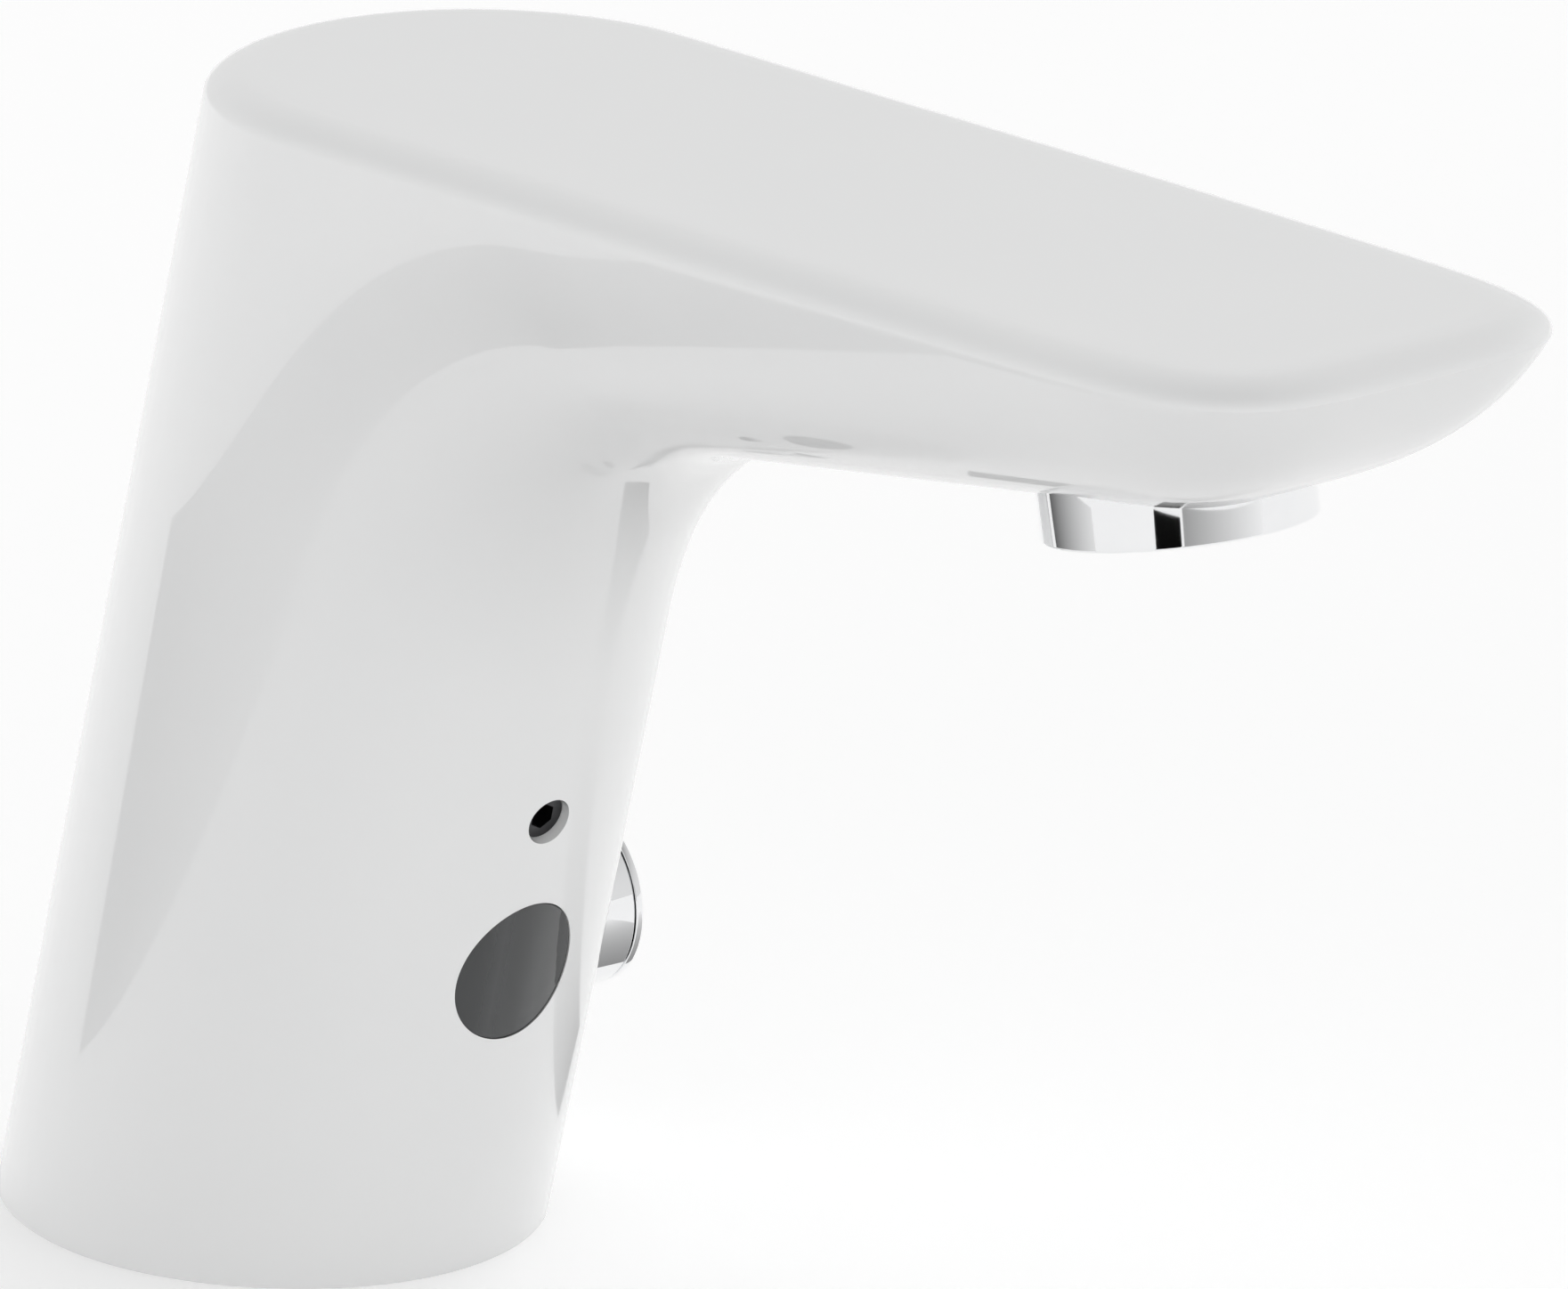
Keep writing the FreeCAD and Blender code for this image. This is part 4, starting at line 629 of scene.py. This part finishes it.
def skinNormals(loops):
    rows = []
    for i, loop in enumerate(loops):
        below = loops[max(i - 1, 0)]
        above = loops[min(i + 1, len(loops) - 1)]
        count = len(loop)
        rows.append([(loop[(j + 1) % count] - loop[j - 1]).cross(above[j] - below[j]).normalized()
                     for j in range(count)])
    return rows


def wrapSkin(loops):
    # a grid whose rows are laid on the loops, with its seam and both ends closed
    around = len(loops[0])
    rows = len(loops) - 1
    bm = bmesh.new()
    bmesh.ops.create_grid(bm, x_segments=around, y_segments=rows, size=1.0)
    for vert in bm.verts:
        column = round((vert.co.x + 1) / 2 * around) % around
        row = round((vert.co.y + 1) / 2 * rows)
        vert.co = loops[row][column] * mm
    bmesh.ops.remove_doubles(bm, verts=bm.verts, dist=body["mergeDistance"] * mm)
    ends = [e for e in bm.edges if e.is_boundary]
    bmesh.ops.holes_fill(bm, edges=ends, sides=0)
    bmesh.ops.recalc_face_normals(bm, faces=bm.faces)
    return bm


def outerSkin():
    # the rows up to the rim, then a flat rounding inward to the lid
    loops = bodyLoops(1.0)
    rim = loops[-1]
    normals = flatNormals(rim)
    for i in range(1, body["edgeRows"] + 1):
        angle = pi / 2 * i / body["edgeRows"]
        inset = body["edgeInset"] * (1 - cos(angle))
        rise = topNormal * (body["edgeRadius"] * sin(angle))
        loops.append([p - n * inset + rise for p, n in zip(rim, normals)])
    bm = wrapSkin(loops)
    # the lid is the highest face of many corners
    lid = max(bm.faces, key=lambda f: f.calc_center_median().z if len(f.verts) > 8 else -1)
    for width in body["lidInsets"]:
        bmesh.ops.inset_region(bm, faces=[lid], thickness=width * mm, use_even_offset=True)
    return bm


def innerSkin():
    # the room inside the wall, open at the deck
    loops = bodyLoops(body["innerDetail"])
    normals = skinNormals(loops)
    normals[0] = [Vector((n.x, n.y, 0)).normalized() for n in normals[0]]
    normals[-1] = flatNormals(loops[-1])
    inset = [[p - n * body["wall"] for p, n in zip(loop, row)] for loop, row in zip(loops, normals)]
    roof = body["wall"] + body["roofGap"]
    keep = [loop for loop in inset[:-1] if min(topFace(p.x) - p.z for p in loop) > roof]
    last = [Vector((p.x, p.y, topFace(p.x) - body["wall"])) for p in inset[-1]]
    below = body["belowDeck"]
    first = [Vector((p.x - lean * below, p.y, -below)) for p in inset[0]]
    return wrapSkin([first] + keep + [last])


# holes through the wall; each cut runs from and to these distances along its axis
openings = {
    "windowHeight": 34.56, "windowRadius": 7.14, "windowTilt": 9.2, "windowCut": (-12, 20),
    "screwHeight": 51.5, "screwRadius": 2.5, "screwCut": (-8, 8),
    "knobX": 7.72, "knobHeight": 26.65, "knobHole": 9.83, "knobCut": (12, 60),
    "outletX": 138.11, "outletHeight": 105.06, "outletTilt": 10.4, "outletRadius": 13.2,
    "outletCut": (-20, 11), "sides": 96, "sharpAngle": 35,
}


def frontPoint(height):
    return Vector((body["halfLength"] + frontLean * height, 0, height))


tilt = radians(openings["windowTilt"])
windowWay = Vector((cos(tilt), 0, sin(tilt)))
windowCentre = frontPoint(openings["windowHeight"])
screwWay = Vector((-frontIn[0], 0, -frontIn[1]))
screwCentre = frontPoint(openings["screwHeight"])
tilt = radians(openings["outletTilt"])
outletUp = Vector((-sin(tilt), 0, cos(tilt)))
outletCentre = Vector((openings["outletX"], 0, openings["outletHeight"]))
knobCentre = Vector((openings["knobX"], 0, openings["knobHeight"]))
knobWay = Vector((0, 1, 0))


def hole(radius, centre, way, cut):
    # a cylinder to cut with, between two distances from the centre along the way
    bm = bmesh.new()
    start, end = [centre + way * distance for distance in cut]
    turn = (end - start).to_track_quat("Z", "Y").to_matrix().to_4x4()
    place = Matrix.Translation((start + end) * 0.5 * mm) @ turn
    bmesh.ops.create_cone(bm, cap_ends=True, segments=openings["sides"], radius1=radius * mm,
                          radius2=radius * mm, depth=(end - start).length * mm, matrix=place)
    return bm


def makeBody():
    draft = placeMesh("draftBody", outerSkin())
    cuts = [
        innerSkin(),
        hole(openings["windowRadius"], windowCentre, windowWay, openings["windowCut"]),
        hole(openings["screwRadius"], screwCentre, screwWay, openings["screwCut"]),
        hole(openings["knobHole"], knobCentre, knobWay, openings["knobCut"]),
        hole(openings["outletRadius"], outletCentre, outletUp, openings["outletCut"]),
    ]
    cutters = [placeMesh("cutter", bm) for bm in cuts]
    for cutter in cutters:
        cut = draft.modifiers.new("cut", "BOOLEAN")
        cut.operation = "DIFFERENCE"
        cut.solver = "EXACT"
        cut.object = cutter
    shaped = draft.evaluated_get(bpy.context.evaluated_depsgraph_get())
    bm = bmesh.new()
    bm.from_mesh(shaped.to_mesh())
    for thing in [draft] + cutters:
        bpy.data.objects.remove(thing)
    addPiece("tapBody", bm, "white_enamel", "tap", ["body_shell"], openings["sharpAngle"])


makeBody()
print("body made")


# radii, and distances from the body's middle plane
knob = {
    "radius": 9.58, "rear": 16.3, "sleeveEnd": 33.57, "capStart": 33.83, "end": 34.69, "spigot": 8.88,
    "bore": 4.05, "seat": 0.02,
}


def makeKnob():
    sleeve = [(knob["bore"], knob["rear"]), (knob["radius"], knob["rear"]),
              (knob["radius"], knob["sleeveEnd"]), (knob["bore"], knob["sleeveEnd"])]
    addPiece("knobSleeve", lathe(sleeve, knobCentre, knobWay), "chrome_plate", "knob", ["knob_sleeve"])
    foot = knob["sleeveEnd"] + knob["seat"]
    cap = [(0, foot), (knob["spigot"], foot), (knob["spigot"], knob["capStart"]),
           (knob["radius"], knob["capStart"]), (knob["radius"], knob["end"]), (0, knob["end"])]
    addPiece("knobCap", lathe(cap, knobCentre, knobWay), "chrome_plate", "knob", ["knob_cap"])


makeKnob()

ring = {
    "radius": 13.02, "wall": 1.42, "height": 8.95, "lip": 1.0, "lipWidth": 0.6,
    "bevelWidth": 0.25, "bevelSegments": 4,
}


def makeRing():
    inside = ring["radius"] - ring["wall"]
    profile = [(inside - ring["lipWidth"], 0), (ring["radius"], 0), (ring["radius"], ring["height"]),
               (inside, ring["height"]), (inside, ring["lip"]), (inside - ring["lipWidth"], ring["lip"])]
    bm = lathe(profile, outletCentre, outletUp, ring["bevelWidth"], ring["bevelSegments"])
    addPiece("aeratorRing", bm, "chrome_plate", "tap", ["aerator_collar"])


makeRing()
print("knob and aerator ring made")


studio = {
    "background": 0.985, "base": 0.25,
    # dark ceiling over the white surroundings: azimuth, elevation, narrowness, depth
    "ceiling": (40, 75, 2.5, 0.9),
    # soft boxes round the object: azimuth, elevation, narrowness, strength
    "lobes": [
        (-110, 3, 8.0, 1.22), (-80, 3, 8.0, 1.10), (-15, 3, 8.0, 3.05),
        (45, 3, 8.0, 2.15), (95, 2, 8.0, 2.25), (160, 3, 8.0, 2.70),
        (190, 3, 8.0, 1.10), (250, 32, 8.0, 1.98), (220, 60, 6.0, 0.50),
    ],
    "floorSize": 6.0, "floorShade": (0.86, 0.88), "floorGlow": 0.27, "bounceShade": 0.72,
}
# cards that only reflections see: to the chrome they are the dark and grey sides of the studio, and the
# lying one is a painted shadow on the floor by the tap
cards = {
    "steps": 24, "distance": 0.2, "centre": Vector((0.138, 0, 0.001)), "lyingHeight": 0.0008,
    # standing round the spout: azimuths from and to, height, shade at both ends
    "standing": {
        "blackCard": (39.0, 59.0, 0.09, 0.004, 0.004),
        "sideCard": (112.0, 164.0, 0.06, 0.80, 0.12),
        "frontCard": (-29.0, 37.0, 0.10, 0.95, 0.36),
    },
    # lying beside the knob, a painted shadow on the floor, darker towards the tap: from, to, half width,
    # shade at both ends
    "lying": {"floorShadowCard": ((0.085, 0.086), (0.014, 0.046), 0.012, 0.95, 0.30)},
}


def shownRays(f):
    # 1 for the rays by which the background is seen, straight, mirrored or through glass
    path = f.add("ShaderNodeLightPath")
    mirrored = f.out(path, "Is Glossy Ray") + f.out(path, "Is Transmission Ray")
    return (f.out(path, "Is Camera Ray") + mirrored).clamped()


def makeFloor():
    bm = bmesh.new()
    bmesh.ops.create_grid(bm, x_segments=1, y_segments=1, size=studio["floorSize"])
    floor = placeMesh("floor", bm)
    f = Finish("paleFloor")
    darkest, lightest = [(shade,) * 3 for shade in studio["floorShade"]]
    paint = f.add("ShaderNodeBsdfDiffuse", Color=f.tint(darkest, lightest, f.noise(3, 2)))
    glow = f.add("ShaderNodeEmission", Strength=studio["floorGlow"])
    both = f.add("ShaderNodeAddShader")
    f.tree.links.new(paint.outputs[0], both.inputs[0])
    f.tree.links.new(glow.outputs[0], both.inputs[1])
    bounce = f.add("ShaderNodeBsdfDiffuse", Color=(*[studio["bounceShade"]] * 3, 1))
    pick = f.add("ShaderNodeMixShader", n0=shownRays(f))
    f.tree.links.new(bounce.outputs[0], pick.inputs[1])
    f.tree.links.new(both.outputs[0], pick.inputs[2])
    floor.data.materials.append(f.surface(pick))


def makeCard(name, foot, lift, startShade, endShade):
    # a strip raised from its foot line, its shade running from one end to the other
    bm = bmesh.new()
    shades = bm.verts.layers.float.new("shade")
    row = []
    for i, place in enumerate(foot):
        vert = bm.verts.new(place)
        vert[shades] = startShade + (endShade - startShade) * i / (len(foot) - 1)
        row.append(vert)
    edges = [bm.edges.new((a, b)) for a, b in zip(row, row[1:])]
    raised = bmesh.ops.extrude_edge_only(bm, edges=edges)["geom"]
    upper = [v for v in raised if isinstance(v, bmesh.types.BMVert)]
    bmesh.ops.translate(bm, vec=lift, verts=upper)
    card = placeMesh(name, bm)
    f = Finish(name)
    shade = f.out(f.add("ShaderNodeAttribute", {"attribute_name": "shade"}), "Fac")
    card.data.materials.append(f.surface(f.add("ShaderNodeEmission", Strength=shade)))
    card.visible_camera = False
    card.visible_diffuse = False
    card.visible_shadow = False
    card.visible_transmission = False


def makeCards():
    shares = [i / cards["steps"] for i in range(cards["steps"] + 1)]
    for name, (start, end, height, startShade, endShade) in cards["standing"].items():
        ways = [viewWay(start + (end - start) * share, 0) for share in shares]
        foot = [cards["centre"] + way * cards["distance"] for way in ways]
        makeCard(name, foot, Vector((0, 0, height)), startShade, endShade)
    # the lying card is painted shadow: the shadowed floor by the tap, as the knob's reflection shows it
    for name, (start, end, halfWidth, startShade, endShade) in cards["lying"].items():
        first = Vector((*start, cards["lyingHeight"]))
        along = Vector((*end, cards["lyingHeight"])) - first
        across = Vector((along.y, -along.x, 0)).normalized() * halfWidth
        foot = [first + along * share - across for share in shares]
        makeCard(name, foot, across * 2, startShade, endShade)


def facing(f, way, azimuth, elevation):
    # how far a direction of the world agrees with the one named, from 0 to 1
    named = tuple(viewWay(azimuth, elevation))
    node = f.add("ShaderNodeVectorMath", {"operation": "DOT_PRODUCT"}, n0=way, n1=named)
    return f.out(node, "Value").clamped()


def makeWorld():
    world = bpy.data.worlds.new("studioWorld")
    bpy.context.scene.world = world
    f = Finish("studioWorld", world)
    way = f.out(f.add("ShaderNodeTexCoord"), "Generated")
    level = studio["base"]
    for azimuth, elevation, narrow, gain in studio["lobes"]:
        level = facing(f, way, azimuth, elevation) ** narrow * gain + level
    azimuth, elevation, narrow, depth = studio["ceiling"]
    ceiling = facing(f, way, azimuth, elevation) ** narrow * depth
    seen = shownRays(f)
    strength = level * (1 - seen) + seen * (1 - ceiling) * studio["background"]
    back = f.add("ShaderNodeBackground", Strength=strength)
    out = f.tree.nodes.new("ShaderNodeOutputWorld")
    f.tree.links.new(back.outputs[0], out.inputs["Surface"])


makeFloor()
makeCards()
makeWorld()
print("studio made")
